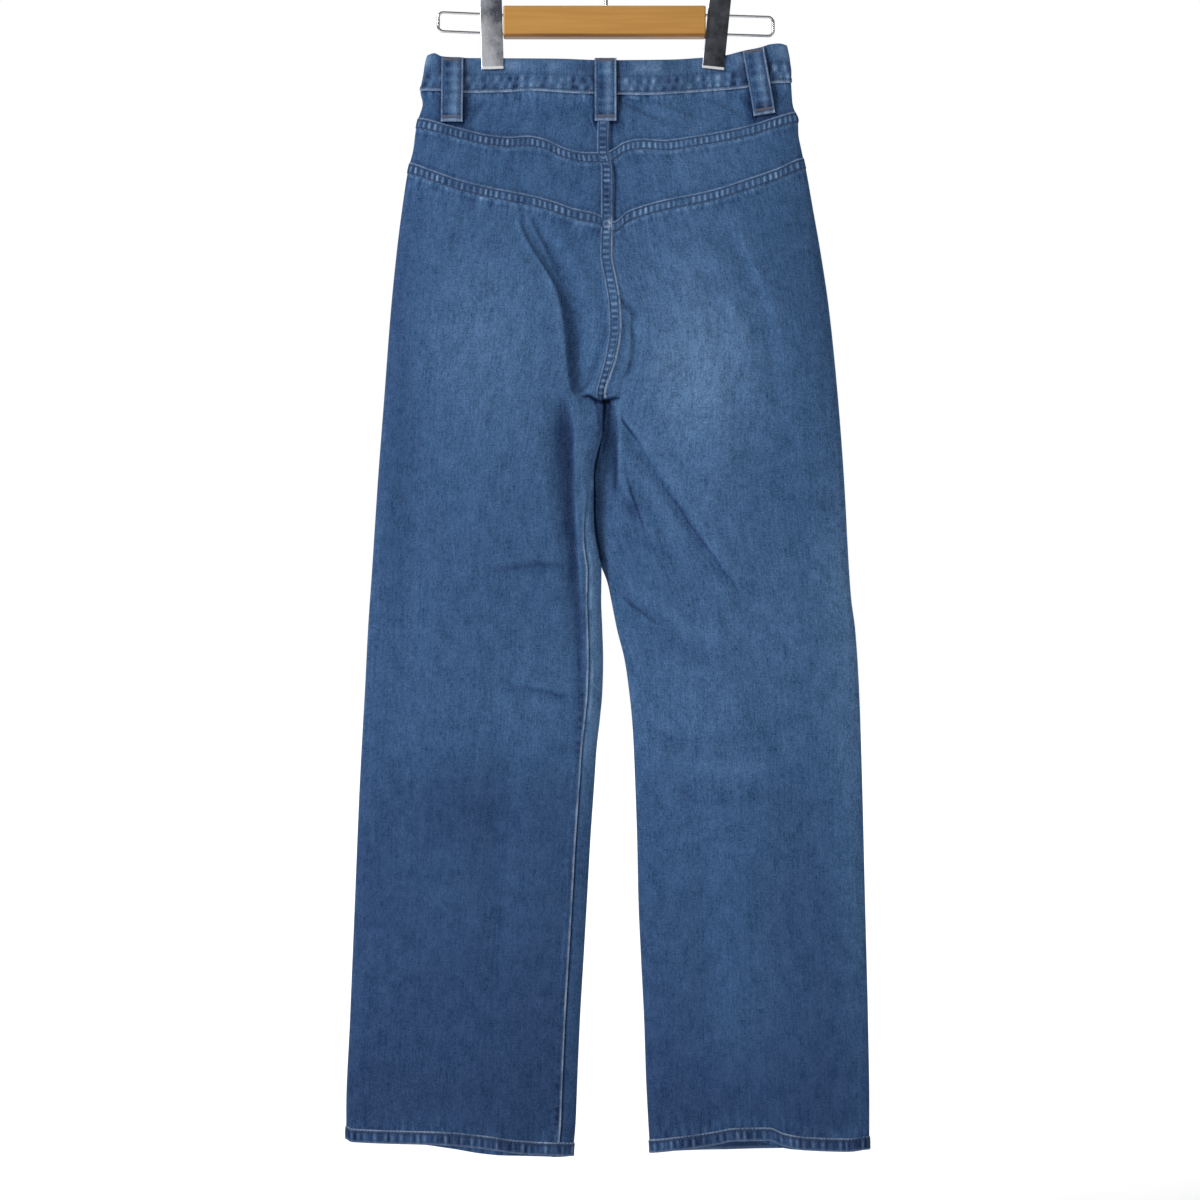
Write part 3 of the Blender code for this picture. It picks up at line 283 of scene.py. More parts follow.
# Painted lines: painted shade at the bottom of a crease and between the overlapping legs, and a painted
# highlight on the top of a ridge, the pale ones partly rub wear.
# face, legs, ((x, drop, amount, reach), ...)
BOTH = (LEFT, RIGHT)
SHADE_AND_RUB_LINES = (
    (BACK, LEFT, ((-85, 152, -0.3, 1.2), (-72, 178, -0.5, 1.3), (-48.5, 216, -0.5, 1.8),
     (-42, 240, -0.5, 2.6), (-36, 272, -0.45, 4), (-33, 300, -0.45, 4.5), (-30, 318, -0.3, 3))),
    (BACK, LEFT, ((-76, 164, 0.1, 2), (-66, 185, 0.16, 2.5), (-47.5, 238, 0.2, 3), (-42, 290, 0.16, 3))),
    (BACK, LEFT, ((-72, 153, -0.3, 1), (-55.5, 181, -0.4, 1.6), (-46.8, 199, -0.2, 2))),
    (BACK, RIGHT, ((12, 226, -0.2, 1.5), (19, 234, -0.4, 1.6), (25, 240, -0.6, 1.9), (29, 247, -0.3, 1.6))),
    (BACK, RIGHT, ((21, 250, -0.2, 1.2), (25.9, 262, -0.55, 1), (26.8, 272, -0.75, 1),
     (26, 282, -0.65, 1.1), (24.5, 290, -0.6, 1.6), (22.6, 297, -0.75, 2), (21, 302, -0.3, 2))),
    (BACK, RIGHT, ((20, 256, 0.1, 1.5), (22.5, 270, 0.25, 1.8), (19.5, 290, 0.2, 1.8),
     (14, 304, 0.1, 1.6))),
    (BACK, LEFT, ((-5, 214, -0.2, 1.2), (-1, 240, -0.3, 1.4), (0, 262, -0.3, 1.5), (-6, 286, -0.3, 1.5))),
    (BACK, LEFT, ((-6, 272, -0.2, 2), (-8, 284, -0.7, 2.6), (-9.5, 297, -0.5, 2.2))),
    (BACK, LEFT, ((-9, 301, -0.2, 1.4), (-15, 307, -0.5, 1.6), (-23, 317, -0.3, 1.6))),
    (BACK, BOTH, ((-24, 323, -0.6, 1), (-16.3, 322.6, -1.7, 1.4), (-11.5, 325.6, -2, 1.4),
     (-5.3, 328.1, -2, 1.9), (1.9, 327.5, -2, 1.8), (5.8, 325.6, -1.9, 1.5), (12.6, 324.4, -1.3, 1.1))),
    (BACK, BOTH, ((-1, 328, -2, 2.4), (-2.2, 340, -2, 1.3), (-3.2, 356, -1.9, 1.1))),
    (BACK, LEFT, ((-10, 329, -1.2, 1.6), (-8, 334, -0.7, 2.4), (-6.5, 348, -0.6, 2), (-7, 362, -0.3, 1.5))),
    (BACK, RIGHT, ((3.5, 330, -1.2, 2.6), (2.6, 338, -0.5, 3), (2, 348, -0.35, 3.2), (0, 366, -0.25, 3.4),
     (-4, 390, -0.15, 3))),
    (BACK, LEFT, ((-27, 322, 0.15, 2), (-18, 318.5, 0.3, 1.4), (-11, 321, 0.2, 1.2))),
    (BACK, RIGHT, ((6, 321, 0.2, 1.2), (12, 320, 0.3, 1.2), (16, 322, 0.2, 1.2))),
    (BACK, RIGHT, ((-3.6, 356, -2, 1.3), (-7.4, 378, -2, 1.2), (-9.4, 388, -2, 1.2), (-11.6, 399, -2, 1.3),
     (-11, 417, -2, 1.2), (-11.2, 434, -2, 1.2), (-9.2, 456, -1.8, 1.2), (-4, 480, -1.2, 1.2))),
    (BACK, RIGHT, ((9, 340, -0.2, 2), (10.2, 362, -0.35, 2.4), (9.4, 384, -0.8, 3.2), (9.6, 404, -0.8, 2.6),
     (9, 414, -0.3, 2))),
    (BACK, RIGHT, ((12, 334, 0.1, 1.6), (13.5, 352, 0.3, 1.8), (13, 384, 0.3, 1.6), (11.5, 408, 0.1, 1.4))),
    (BACK, LEFT, ((-36, 318, -0.2, 6), (-41, 335, -0.4, 9), (-41, 355, -0.7, 10.5), (-38, 403, -0.75, 9),
     (-35, 440, -0.7, 7.5), (-32, 467, -0.7, 6.5), (-26, 528, -0.65, 5.5), (-24.5, 576, -0.55, 4.5),
     (-26, 640, -0.3, 4), (-30, 720, 0, 4))),
    (BACK, LEFT, ((-26, 332, 0.2, 2.4), (-25, 360, 0.2, 3), (-22, 420, 0.3, 4), (-20, 455, 0.25, 3.6),
     (-19, 480, 0, 2.2))),
    (BACK, RIGHT, ((14.5, 342, -0.5, 1.2), (16.5, 347, -1.3, 1.4), (22.4, 355, -1.4, 1.4),
     (32.6, 368, -0.7, 1.3), (39.2, 381, -0.2, 1.3), (49.5, 400, -0.2, 1.4), (58.6, 414.5, -0.5, 1.4),
     (69, 427, -0.6, 1.4), (78, 442.5, -0.7, 1.4), (88, 456, -0.7, 1.4), (107, 482, -0.6, 1.5),
     (128, 510, -0.1, 1.6))),
    (BACK, RIGHT, ((20, 346, 0.2, 1.8), (26, 352, 0.3, 2), (45, 379, 0.12, 2.6), (71, 415, 0.2, 2.6),
     (93, 447, 0.22, 2.6), (114, 479, 0.15, 2.6))),
    (BACK, RIGHT, ((17, 386, -0.2, 1.3), (19.8, 398, -0.6, 1.4), (23.6, 414.4, -1.3, 1.6),
     (28.8, 427.3, -1.4, 1.4), (34, 442.6, -1, 1.3), (37, 452, 0, 1.3))),
    (BACK, RIGHT, ((14, 410, -0.1, 4), (22, 428, -0.4, 5), (27, 444, -0.1, 5))),
    (BACK, RIGHT, ((4, 504, -0.3, 1.3), (24, 523, -0.5, 1.5), (41, 535, -0.4, 1.5), (60, 549, -0.1, 1.5))),
    (BACK, LEFT, ((-112, 492, 0, 2), (-92, 488, -0.28, 2.4), (-62, 484, -0.34, 2.4),
     (-40, 486, -0.1, 2.2))),
    (BACK, LEFT, ((-96, 602, 0, 2), (-76, 603, -0.25, 2.2), (-50, 609, -0.38, 2), (-26, 613, -0.1, 2))),
    (BACK, RIGHT, ((6, 460, -0.1, 6), (28, 464, -0.28, 6), (54, 472, -0.2, 6), (76, 486, 0, 6))),
    (BACK, RIGHT, ((30, 540, -0.1, 6), (60, 560, -0.3, 8), (96, 574, -0.2, 8), (120, 580, 0, 8))),
    (BACK, RIGHT, ((40, 516, 0.1, 6), (70, 536, 0.22, 7), (104, 552, 0.1, 7))),
    (BACK, RIGHT, ((56, 640, 0, 5), (90, 652, -0.22, 6), (140, 650, -0.24, 6), (176, 640, 0, 5))),
    (BACK, RIGHT, ((60, 702, 0, 5), (100, 712, -0.25, 6), (150, 708, -0.2, 6), (186, 696, 0, 5))),
    (BACK, RIGHT, ((70, 668, 0, 6), (110, 682, 0.2, 7), (160, 678, 0.18, 7), (196, 664, 0, 5))),
    (BACK, LEFT, ((-11.3, 43, 0.5, 0.8), (-14.9, 54, 0.8, 0.9), (-12.2, 63, 0.7, 0.9), (-8, 75, 0.3, 0.8))),
    (BACK, LEFT, ((-10.5, 46, -0.5, 1.6), (-11.5, 56, -0.6, 1.6), (-9, 66, -0.3, 1.4))),
    (BACK, RIGHT, ((12, 32, -0.5, 1.6), (23.6, 38.5, -0.9, 1.4), (34.4, 41, -0.5, 1.2), (48, 43, 0, 1.2))),
    (BACK, RIGHT, ((16, 31, 0.3, 1), (25, 35.4, 0.5, 1), (36, 37.6, 0.2, 1))),
    (BACK, RIGHT, ((14, 37, -0.2, 3), (28, 46, -0.3, 4), (37, 52, 0, 4))),
    (BACK, RIGHT, ((127, 32, -0.3, 3), (133, 38, -0.6, 3.5), (136, 46, -0.4, 3))),
)

# Belt loops: face, then x and drop of the middle of the top and of the foot
LOOPS = {
    "belt_loop_centre": (BACK, (-0.5, 0.2), (-0.3, 60.8)),
    "belt_loop_back_left": (BACK, (-147.1, -1.2), (-147.6, 61.0)),
    "belt_loop_back_right": (BACK, (141.2, -9.0), (151.6, 54.0)),
    "belt_loop_front_left": (FRONT, (-58.0, 4.5), (-57.0, 63.5)),
    "belt_loop_front_right": (FRONT, (57.0, 4.5), (57.0, 63.5)),
}

# Where the wash has left the cloth lighter or darker: face, x, drop, spread across, spread down, amount
WASH = (
    (BACK, -108, 262, 60, 96, 0.22), (BACK, 88, 290, 66, 100, 0.36), (BACK, 60, 190, 60, 40, 0.08),
    (BACK, 124, 500, 60, 90, 0.05), (BACK, -70, 618, 60, 60, 0.05), (BACK, 120, 650, 90, 80, 0.06),
    (BACK, 130, 900, 90, 90, 0.1), (BACK, -130, 716, 90, 46, -0.06), (BACK, 80, 90, 80, 50, 0.12),
    (BACK, 96, 620, 100, 140, 0.07), (BACK, 170, 540, 50, 70, 0.06), (BACK, 110, 750, 80, 70, 0.07),
    (BACK, 221, 487, 24, 60, 0.09), (BACK, -205, 250, 22, 260, -0.18), (BACK, -232, 700, 20, 260, -0.04),
    (BACK, 238, 520, 26, 210, 0.19), (BACK, 250, 800, 26, 240, 0.18), (BACK, 12, 366, 11, 44, -0.04),
    (BACK, -20, 440, 8, 60, 0.12), (FRONT, -100, 330, 70, 150, 0.24), (FRONT, 104, 330, 70, 150, 0.24),
    (FRONT, -130, 640, 60, 90, 0.12), (FRONT, 136, 640, 60, 90, 0.12),
)
# The same down the whole cloth: drop, amount
WASH_DOWN = (
    (-20, 0.45), (50, 0.39), (120, 0.37), (330, 0.41), (520, 0.38), (620, 0.38), (720, 0.29), (860, 0.23),
    (930, 0.19), (1010, 0.14), (1062, 0.15),
)


def smooth_step(value, low, high):
    """t^2 (3 - 2t), with t going from 0 at low to 1 at high."""
    t = np.clip((np.asarray(value, float) - low) / (high - low), 0.0, 1.0)
    return t * t * (3.0 - 2.0 * t)


def bell(value, at, reach):
    """1 at a place, falling as exp(-((value - at) / reach)^2) to both sides."""
    return np.exp(-(((value - at) / reach) ** 2))


def curve_through(table, value, column=1):
    """A monotone cubic through one column of a table, flat beyond its ends."""
    rows = np.array([row[:1] + row[column : column + 1] for row in table], float)
    xs, ys = rows[:, 0], rows[:, 1]
    step = np.diff(xs)
    slope = np.diff(ys) / step
    tangent = np.zeros(len(xs))
    same_way = slope[:-1] * slope[1:] > 0
    mean = 2.0 * slope[:-1] * slope[1:] / np.where(same_way, slope[:-1] + slope[1:], 1.0)
    tangent[1:-1] = np.where(same_way, mean, 0.0)
    value = np.clip(np.asarray(value, float), xs[0], xs[-1])
    i = np.clip(np.searchsorted(xs, value, side="right") - 1, 0, len(step) - 1)
    t = (value - xs[i]) / step[i]
    rise = ys[i + 1] - ys[i]
    start, end = tangent[i] * step[i], tangent[i + 1] * step[i]
    return ys[i] + t * (start + t * (3 * rise - 2 * start - end + t * (start + end - 2 * rise)))


def unit(vectors):
    """Each vector divided by its length."""
    return vectors / np.maximum(np.linalg.norm(vectors, axis=-1, keepdims=True), 1e-9)


def outer_edge(side, drop):
    """x of the silhouette's outer edge."""
    return curve_through(OUTLINE, drop, 1 if side == LEFT else 2)


def inner_edge(side, drop):
    """x of the centre seam, and of the leg's inner edge below the crotch."""
    return curve_through(INSIDE, drop, 1 if side == LEFT else 2)


def fork_share(drop):
    """1 where the body is one tube, falling along a quarter ellipse to 0 at the crotch."""
    along = np.clip((drop - CROTCH + FORK_LENGTH) / FORK_LENGTH, 0.0, 1.0)
    return np.sqrt(1.0 - along**2)


def clip_grip(x, drop):
    """1 under a clip's jaws, falling away beside and below them."""
    grip = np.zeros(np.broadcast(x, drop).shape)
    for clip in CLIPS.values():
        beside = np.maximum(np.abs(x - clip["x"]) - GRIP_FLAT, 0.0) / 20.0
        below = np.maximum(drop - 15.0, 0.0) / 42.0
        grip = np.maximum(grip, np.exp(-(beside**2) - below**2))
    return grip


def wall_of(away, width, crisp):
    """A trough's wall: 1 at the bottom and 0 beyond. Crisp is a parabola t(2 - t), soft a Gaussian."""
    if crisp:
        t = np.clip(1.0 - np.abs(away) / width, 0.0, 1.0)
        return t * (2.0 - t)
    return bell(away, 0.0, width)


def fold_relief(face, side, x, drop):
    """How far the folds pull the cloth in, as a positive number of millimetres."""
    relief = np.zeros(np.broadcast(x, drop).shape)
    for fold_face, fold_side, crisp, stations in FOLDS:
        if fold_face != face or fold_side != side:
            continue
        first, last = stations[0][0], stations[-1][0]
        middle = curve_through(stations, drop, 1)
        slope = (curve_through(stations, drop + 2.0, 1) - curve_through(stations, drop - 2.0, 1)) / 4.0
        away = (x - middle) / np.sqrt(1.0 + slope**2)
        left = wall_of(away, curve_through(stations, drop, 3), crisp == "left")
        right = wall_of(away, curve_through(stations, drop, 4), crisp == "right")
        depth = np.where((drop > first) & (drop < last), curve_through(stations, drop, 2), 0.0)
        relief = relief + depth * np.where(away < 0, left, right)
    for fold_face, fold_side, stations in CROSS_FOLDS:
        if fold_face != face or fold_side != side:
            continue
        first, last = stations[0][0], stations[-1][0]
        away = drop - curve_through(stations, x, 1)
        width = np.where(away < 0, curve_through(stations, x, 3), curve_through(stations, x, 4))
        inside = smooth_step(x, first - 4.0, first + 6.0) * (1.0 - smooth_step(x, last - 6.0, last + 4.0))
        relief = relief + curve_through(stations, x, 2) * inside * bell(away, 0.0, width)
    return relief


def slack(face, side, share, drop):
    """Low waves of hanging cloth: a sum of sines across and down the panel, in millimetres."""
    turn = 1.3 if side == LEFT else 4.1
    turn = turn + (0.0 if face == BACK else 2.2)
    wave = 0.55 * np.sin(2 * math.pi * (1.6 * share + drop / 620.0) + turn)
    wave = wave + 0.35 * np.sin(2 * math.pi * (2.7 * share - drop / 410.0) + 2.1 * turn)
    wave = wave + 0.22 * np.sin(2 * math.pi * (4.6 * share + drop / 150.0) + 3.3 * turn)
    return wave * smooth_step(drop, 40.0, 160.0)


def as_seen(points):
    """The x and drop at which the camera sees points against the plane y = 0, on the side that faces it."""
    near = 1.0 / (1.0 - np.minimum(points[..., 1], 0.0) / CAMERA[1])
    x = CAMERA[0] + (points[..., 0] - CAMERA[0]) * near
    z = CAMERA[2] + (points[..., 2] - CAMERA[2]) * near
    return x, WAIST_Z - z


def cloth_point(side, face, share, drop):
    """The point of the cloth's surface at a share of the way from the outer edge to the inner one.

    x = outer + (inner - outer) share, and y = the depth times a flattened oval of the share, less the
    folds. Above the crotch the oval's inner end stays open at full depth.
    """
    outer, inner = outer_edge(side, drop), inner_edge(side, drop)
    x = outer + (inner - outer) * share
    near_outer, near_inner = np.minimum(share, 0.5), np.maximum(share, 0.5)
    round_outer = (2.0 * np.sqrt(np.clip(near_outer * (1.0 - near_outer), 0.0, 1.0))) ** 0.7
    blunt = 0.35 + 0.55 * smooth_step(drop, CROTCH, CROTCH + 90.0)
    round_inner = (2.0 * np.sqrt(np.clip(near_inner * (1.0 - near_inner), 0.0, 1.0))) ** blunt
    fork = fork_share(drop)
    depth = curve_through(DEPTH, drop, 1 if face == BACK else 2)
    swell = round_outer * (fork + (1.0 - fork) * round_inner)
    grip = clip_grip(x, drop)
    half = depth * swell * (1.0 - grip) + GRIP_HALF * grip * np.minimum(1.0, 3.0 * round_outer)
    seen_x, seen_drop = as_seen(np.stack([x, face * half, WAIST_Z - drop], axis=-1))
    half = half - (fold_relief(face, side, seen_x, seen_drop) + slack(face, side, share, drop)) * swell
    shift = curve_through(INNER_SHIFT, drop) * share**3
    middle = np.where(drop > CROTCH, shift if side == RIGHT else -shift, 0.0)
    return np.stack([x, middle + face * half, WAIST_Z - drop], axis=-1)


def share_across(across, drop):
    """The share of the way inwards: (1 - cos(pi a)) / 2 on a leg, 1 - cos(pi a / 2) on the trunk."""
    trunk = 1.0 - smooth_step(drop, TRUNK_FROM, CROTCH)
    leg = (1.0 - np.cos(math.pi * across)) / 2
    return trunk * (1.0 - np.cos(math.pi * across / 2)) + (1.0 - trunk) * leg


def ring_point(side, ring, drop):
    """The cloth at a place on a leg's ring: 0 at its outer edge, to 1 by the back, to 2 by the front."""
    ring, drop = np.broadcast_arrays(np.asarray(ring, float), np.asarray(drop, float))
    on_front = (ring < 0) | ((ring > 1) & (ring <= 2))
    across = np.where(ring > 1, np.abs(2.0 - ring), np.abs(ring))
    share = share_across(across, drop)
    points = np.empty(ring.shape + (3,))
    for face, chosen in ((FRONT, on_front), (BACK, ~on_front)):
        if chosen.any():
            points[chosen] = cloth_point(side, face, share[chosen], drop[chosen])
    return points


def ring_normal(side, ring, drop):
    """The outward unit normal of the cloth, from differences along the ring and down it."""
    step, fall = 0.012, 1.0
    ring, drop = np.broadcast_arrays(np.asarray(ring, float), np.asarray(drop, float))
    before, after = ring - step, ring + step
    open_end = drop <= CROTCH - 0.5
    after = np.where(open_end & (ring <= 1), np.minimum(after, 1.0), after)
    before = np.where(open_end & (ring > 1), np.maximum(before, 1.0 + 1e-6), before)
    along = ring_point(side, after, drop) - ring_point(side, before, drop)
    down = ring_point(side, ring, drop + fall) - ring_point(side, ring, drop - fall)
    normal = np.cross(along, down)
    return unit(-normal if side == LEFT else normal)


def drop_on_line(line, side, ring, drop_guess):
    """The drop at which each ring place is seen to cross a line, a table of x and drop."""
    drop = np.full(np.shape(ring), float(drop_guess))
    for _ in range(6):
        seen_x, seen_drop = as_seen(ring_point(side, ring, drop))
        drop = drop + curve_through(line, seen_x) - seen_drop
    return drop


def front_line_dip(side, ring, drop):
    """How far the waist's lines dip on the front: FRONT_DIP share^1.5, from the side to the centre."""
    x = ring_point(side, ring, drop)[..., 0]
    outer, inner = outer_edge(side, drop), inner_edge(side, drop)
    return FRONT_DIP * np.clip((x - outer) / (inner - outer), 0.0, 1.0) ** 1.5


def cloth_at(face, x, drop):
    """The cloth's surface and outward normal at an x and drop, away from the side edges."""

    def point(at_x, at_drop):
        """The cloth on whichever leg an x and drop lie."""
        on_left = at_x < curve_through(INSIDE, at_drop, 1)
        found = np.empty(on_left.shape + (3,))
        for side, chosen in ((LEFT, on_left), (RIGHT, ~on_left)):
            outer, inner = outer_edge(side, at_drop[chosen]), inner_edge(side, at_drop[chosen])
            share = np.clip((at_x[chosen] - outer) / (inner - outer), 0.0, 1.0)
            found[chosen] = cloth_point(side, face, share, at_drop[chosen])
        return found

    x, drop = (a.copy() for a in np.broadcast_arrays(np.asarray(x, float), np.asarray(drop, float)))
    surface = point(x, drop)
    along = point(x + 1.5, drop) - point(x - 1.5, drop)
    down = point(x, drop + 1.5) - point(x, drop - 1.5)
    return surface, unit(np.cross(along, down) * face)


def wash_amount(face, x, drop):
    """How far the dye has washed out, 0 dark to 1 light: a fall down the leg plus soft patches."""
    amount = curve_through(WASH_DOWN, drop)
    for wash_face, at_x, at_drop, across, down, height in WASH:
        if wash_face == face:
            away = ((x - at_x) / across) ** 2 + ((drop - at_drop) / down) ** 2
            amount = amount + height * np.exp(-away)
    return amount


def shade_and_rub_at(face, side, x, drop):
    """Painted shade and highlight along the lines, partly rub wear: amount times exp(-(distance / reach)^2)
    from the nearest segment.
    """
    total = np.zeros(x.shape)
    for rub_face, sides, knots in SHADE_AND_RUB_LINES:
        if rub_face != face or side not in sides:
            continue
        line = np.zeros(x.shape)
        for (x0, d0, a0, r0), (x1, d1, a1, r1) in zip(knots[:-1], knots[1:]):
            run, fall = x1 - x0, d1 - d0
            t = np.clip(((x - x0) * run + (drop - d0) * fall) / (run**2 + fall**2), 0.0, 1.0)
            away = ((x - x0 - run * t) ** 2 + (drop - d0 - fall * t) ** 2) / (r0 + (r1 - r0) * t) ** 2
            here = (a0 + (a1 - a0) * t) * np.exp(-away)
            line = np.where(np.abs(here) > np.abs(line), here, line)
        total = total + line
    return total


def seam_shade(x, drop):
    """A painted shadow to the right of the centre seam, and a painted dip of shade to its left, in the
    yokes.
    """
    away = x - curve_through(INSIDE, drop, 1)
    yokes = 1.0 - smooth_step(drop, 148.0, 176.0)
    right = -0.25 - 0.55 * yokes
    return right * bell(away, 4.9, 1.5) - 0.18 * yokes * bell(away, -10.4, 2.2)


def loop_shade(face, x, drop):
    """Painted shadow round each belt loop: -0.85 exp(-distance / 3.6) from its outline, and nothing above
    it.
    """
    shade = np.zeros(np.broadcast(x, drop).shape)
    for loop_face, (top_x, top_drop), (foot_x, foot_drop) in LOOPS.values():
        if loop_face != face:
            continue
        length = math.hypot(foot_x - top_x, foot_drop - top_drop)
        run, fall = (foot_x - top_x) / length, (foot_drop - top_drop) / length
        down = (x - top_x) * run + (drop - top_drop) * fall
        aside = np.abs((x - top_x) * fall - (drop - top_drop) * run)
        away = np.hypot(np.maximum(aside - 10.4, 0.0), np.maximum(down - length + 0.3, 0.0))
        shade = np.minimum(shade, -0.85 * np.exp(-away / 3.6))
    return shade


def wobble(along, seed):
    """A slow irregular wave of a length along a seam, between about -1 and 1."""
    wave = np.sin(along / 9.1 + seed) + 0.8 * np.sin(along / 23.7 + 2.3 * seed)
    return (wave + 0.6 * np.sin(along / 4.3 + 5.1 * seed)) / 2.4


def rungs(along, seed, period=5.8):
    """The ladder of puckers between two rows of stitches: 1 on a rung and 0 between."""
    turn = 2 * math.pi * (along / period + 0.28 * wobble(along, seed))
    return (0.5 + 0.5 * np.sin(turn)) ** 1.4 * (0.68 + 0.42 * wobble(along * 2.3, seed + 1.7))


# Meshes


def run_along(points):
    """The length along a row of points up to each of them."""
    return np.concatenate([[0.0], np.cumsum(np.linalg.norm(np.diff(points, axis=0), axis=1))])


def grid_faces(rows, columns, wrap=False, flip=False):
    """Quads between the points of a grid, closed round its columns if wrap is set."""
    index = np.arange(rows * columns).reshape(rows, columns)
    if wrap:
        index = np.concatenate([index, index[:, :1]], axis=1)
    quads = np.stack([index[:-1, :-1], index[1:, :-1], index[1:, 1:], index[:-1, 1:]], axis=-1)
    quads = quads.reshape(-1, 4)
    return quads[:, ::-1] if flip else quads


def mesh_piece(name, points, faces, material, values=None, uv=None, smooth=True, caps=()):
    """A mesh object from points in millimetres, with point attributes and a UV map in metres."""
    mesh = bpy.data.meshes.new(name)
    points = np.asarray(points, float)
    grid = points.shape[:-1]
    polygons = np.asarray(faces, int).tolist() + [list(cap) for cap in caps]
    mesh.from_pydata((points.reshape(-1, 3) * MM).tolist(), [], polygons)
    for key, value in (values or {}).items():
        layer = mesh.attributes.new(key, "FLOAT", "POINT")
        layer.data.foreach_set("value", np.broadcast_to(value, grid).astype(np.float32).ravel())
    if uv is not None:
        layer = mesh.uv_layers.new(name="cloth")
        corner = np.empty(len(mesh.loops), np.int32)
        mesh.loops.foreach_get("vertex_index", corner)
        places = np.asarray(uv, float).reshape(-1, 2)[corner] * MM
        layer.data.foreach_set("uv", places.astype(np.float32).ravel())
    mesh.polygons.foreach_set("use_smooth", np.full(len(mesh.polygons), smooth))
    mesh.update()
    obj = bpy.data.objects.new(name, mesh)
    bpy.context.scene.collection.objects.link(obj)
    obj.data.materials.append(material)
    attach(obj, "root")
    return obj


def spread_out(field, columns, rows):
    """A grid's values averaged over a window that reaches this many columns and rows each way."""
    for axis, reach in ((1, columns), (0, rows)):
        padded = np.pad(field, [(reach, reach) if a == axis else (0, 0) for a in (0, 1)], mode="edge")
        total = np.cumsum(padded, axis=axis)
        total = np.insert(total, 0, 0.0, axis=axis)
        wide = 2 * reach + 1
        high = np.take(total, np.arange(wide, total.shape[axis]), axis=axis)
        low = np.take(total, np.arange(0, total.shape[axis] - wide), axis=axis)
        field = (high - low) / wide
    return field


def cloth_uv(side, face, ring, drop):
    """Cloth coordinates in millimetres: across the panel from the outer edge, and down."""
    across = np.where(ring > 1, 2.0 - ring, ring)
    share = share_across(across, drop)
    start = (0.0 if side == LEFT else 500.0) + (0.0 if face == BACK else 1000.0)
    width = 175.0 + 38.0 * smooth_step(drop, 0.0, 330.0)
    return np.stack([start + share * width, drop + 0.0 * share], axis=-1)


def near_line(drop, line_drop, fade):
    """1 at a line, falling away below it."""
    return np.exp(-np.clip(drop - line_drop, 0.0, None) / fade)


def panel(name, side, face, ring, drop, pucker, material, wear_and_shade=0.0, rise=None, pale=0.0):
    """A cloth piece over rings and drops, with painted shade where a fold is deeper than what is round it,
    painted shade and highlight lines partly standing for rub wear, and painted shadows of the belt loops
    and centre seam.
    """
    points = ring_point(side, ring, drop)
    if rise is not None:
        points = points + ring_normal(side, ring, drop) * rise[..., None]
    x, seen = as_seen(points)
    relief = fold_relief(face, side, x, seen)
    # Painted shade in troughs deeper than the cloth round them and painted light on ridges, partly standing
    # for ridge wear, plus the painted shade and highlight lines.
    wear_and_shade = wear_and_shade - 0.07 * (relief - spread_out(relief, 9, 7)) + 0.6 * shade_and_rub_at(face, side, x, seen)
    # Painted shadows round the belt loops and beside the centre seam.
    wear_and_shade = wear_and_shade + loop_shade(face, x, seen) + (seam_shade(x, seen) if face == BACK else 0.0)
    values = {"fade": wash_amount(face, x, seen), "pucker": pucker, "wear_and_shade": wear_and_shade, "pale": pale}
    faces, uv = grid_faces(*drop.shape, flip=side == RIGHT), cloth_uv(side, face, ring, drop)
    obj = mesh_piece(f"{name}_cloth", points, faces, material, values, uv)
    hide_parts(name)
    return obj


def below_seam(x, away, seed):
    """Short pale strokes just below a felled seam, and a dip beyond them."""
    stroke = (0.35 + 0.9 * rungs(x * 1.02, seed + 3.0, 5.6)) * bell(away, 6.2, 1.3)
    return stroke - 0.35 * bell(away, 10.0, 2.2)


def rows_between(top, bottom, count):
    """Rows of drops, evenly spaced from one line to another."""
    share = np.linspace(0.0, 1.0, count)[:, None]
    return top * (1.0 - share) + bottom * share


def inseam_place(side, drop):
    """The ring place of the inseam, 1 where it lies on the leg's inner edge."""
    return 1.0 - curve_through(INSEAM, drop, 1 if side == LEFT else 2)


def leg_rows(top, foot, seat_rows, leg_rows_count):
    """Rows of drops from a top line through the crotch to the hem."""
    crotch = np.full(top.shape, CROTCH)
    below = np.linspace(0.0, 1.0, leg_rows_count)[1:, None] ** 1.3
    return np.concatenate([rows_between(top, crotch, seat_rows), crotch + (foot - crotch) * below])


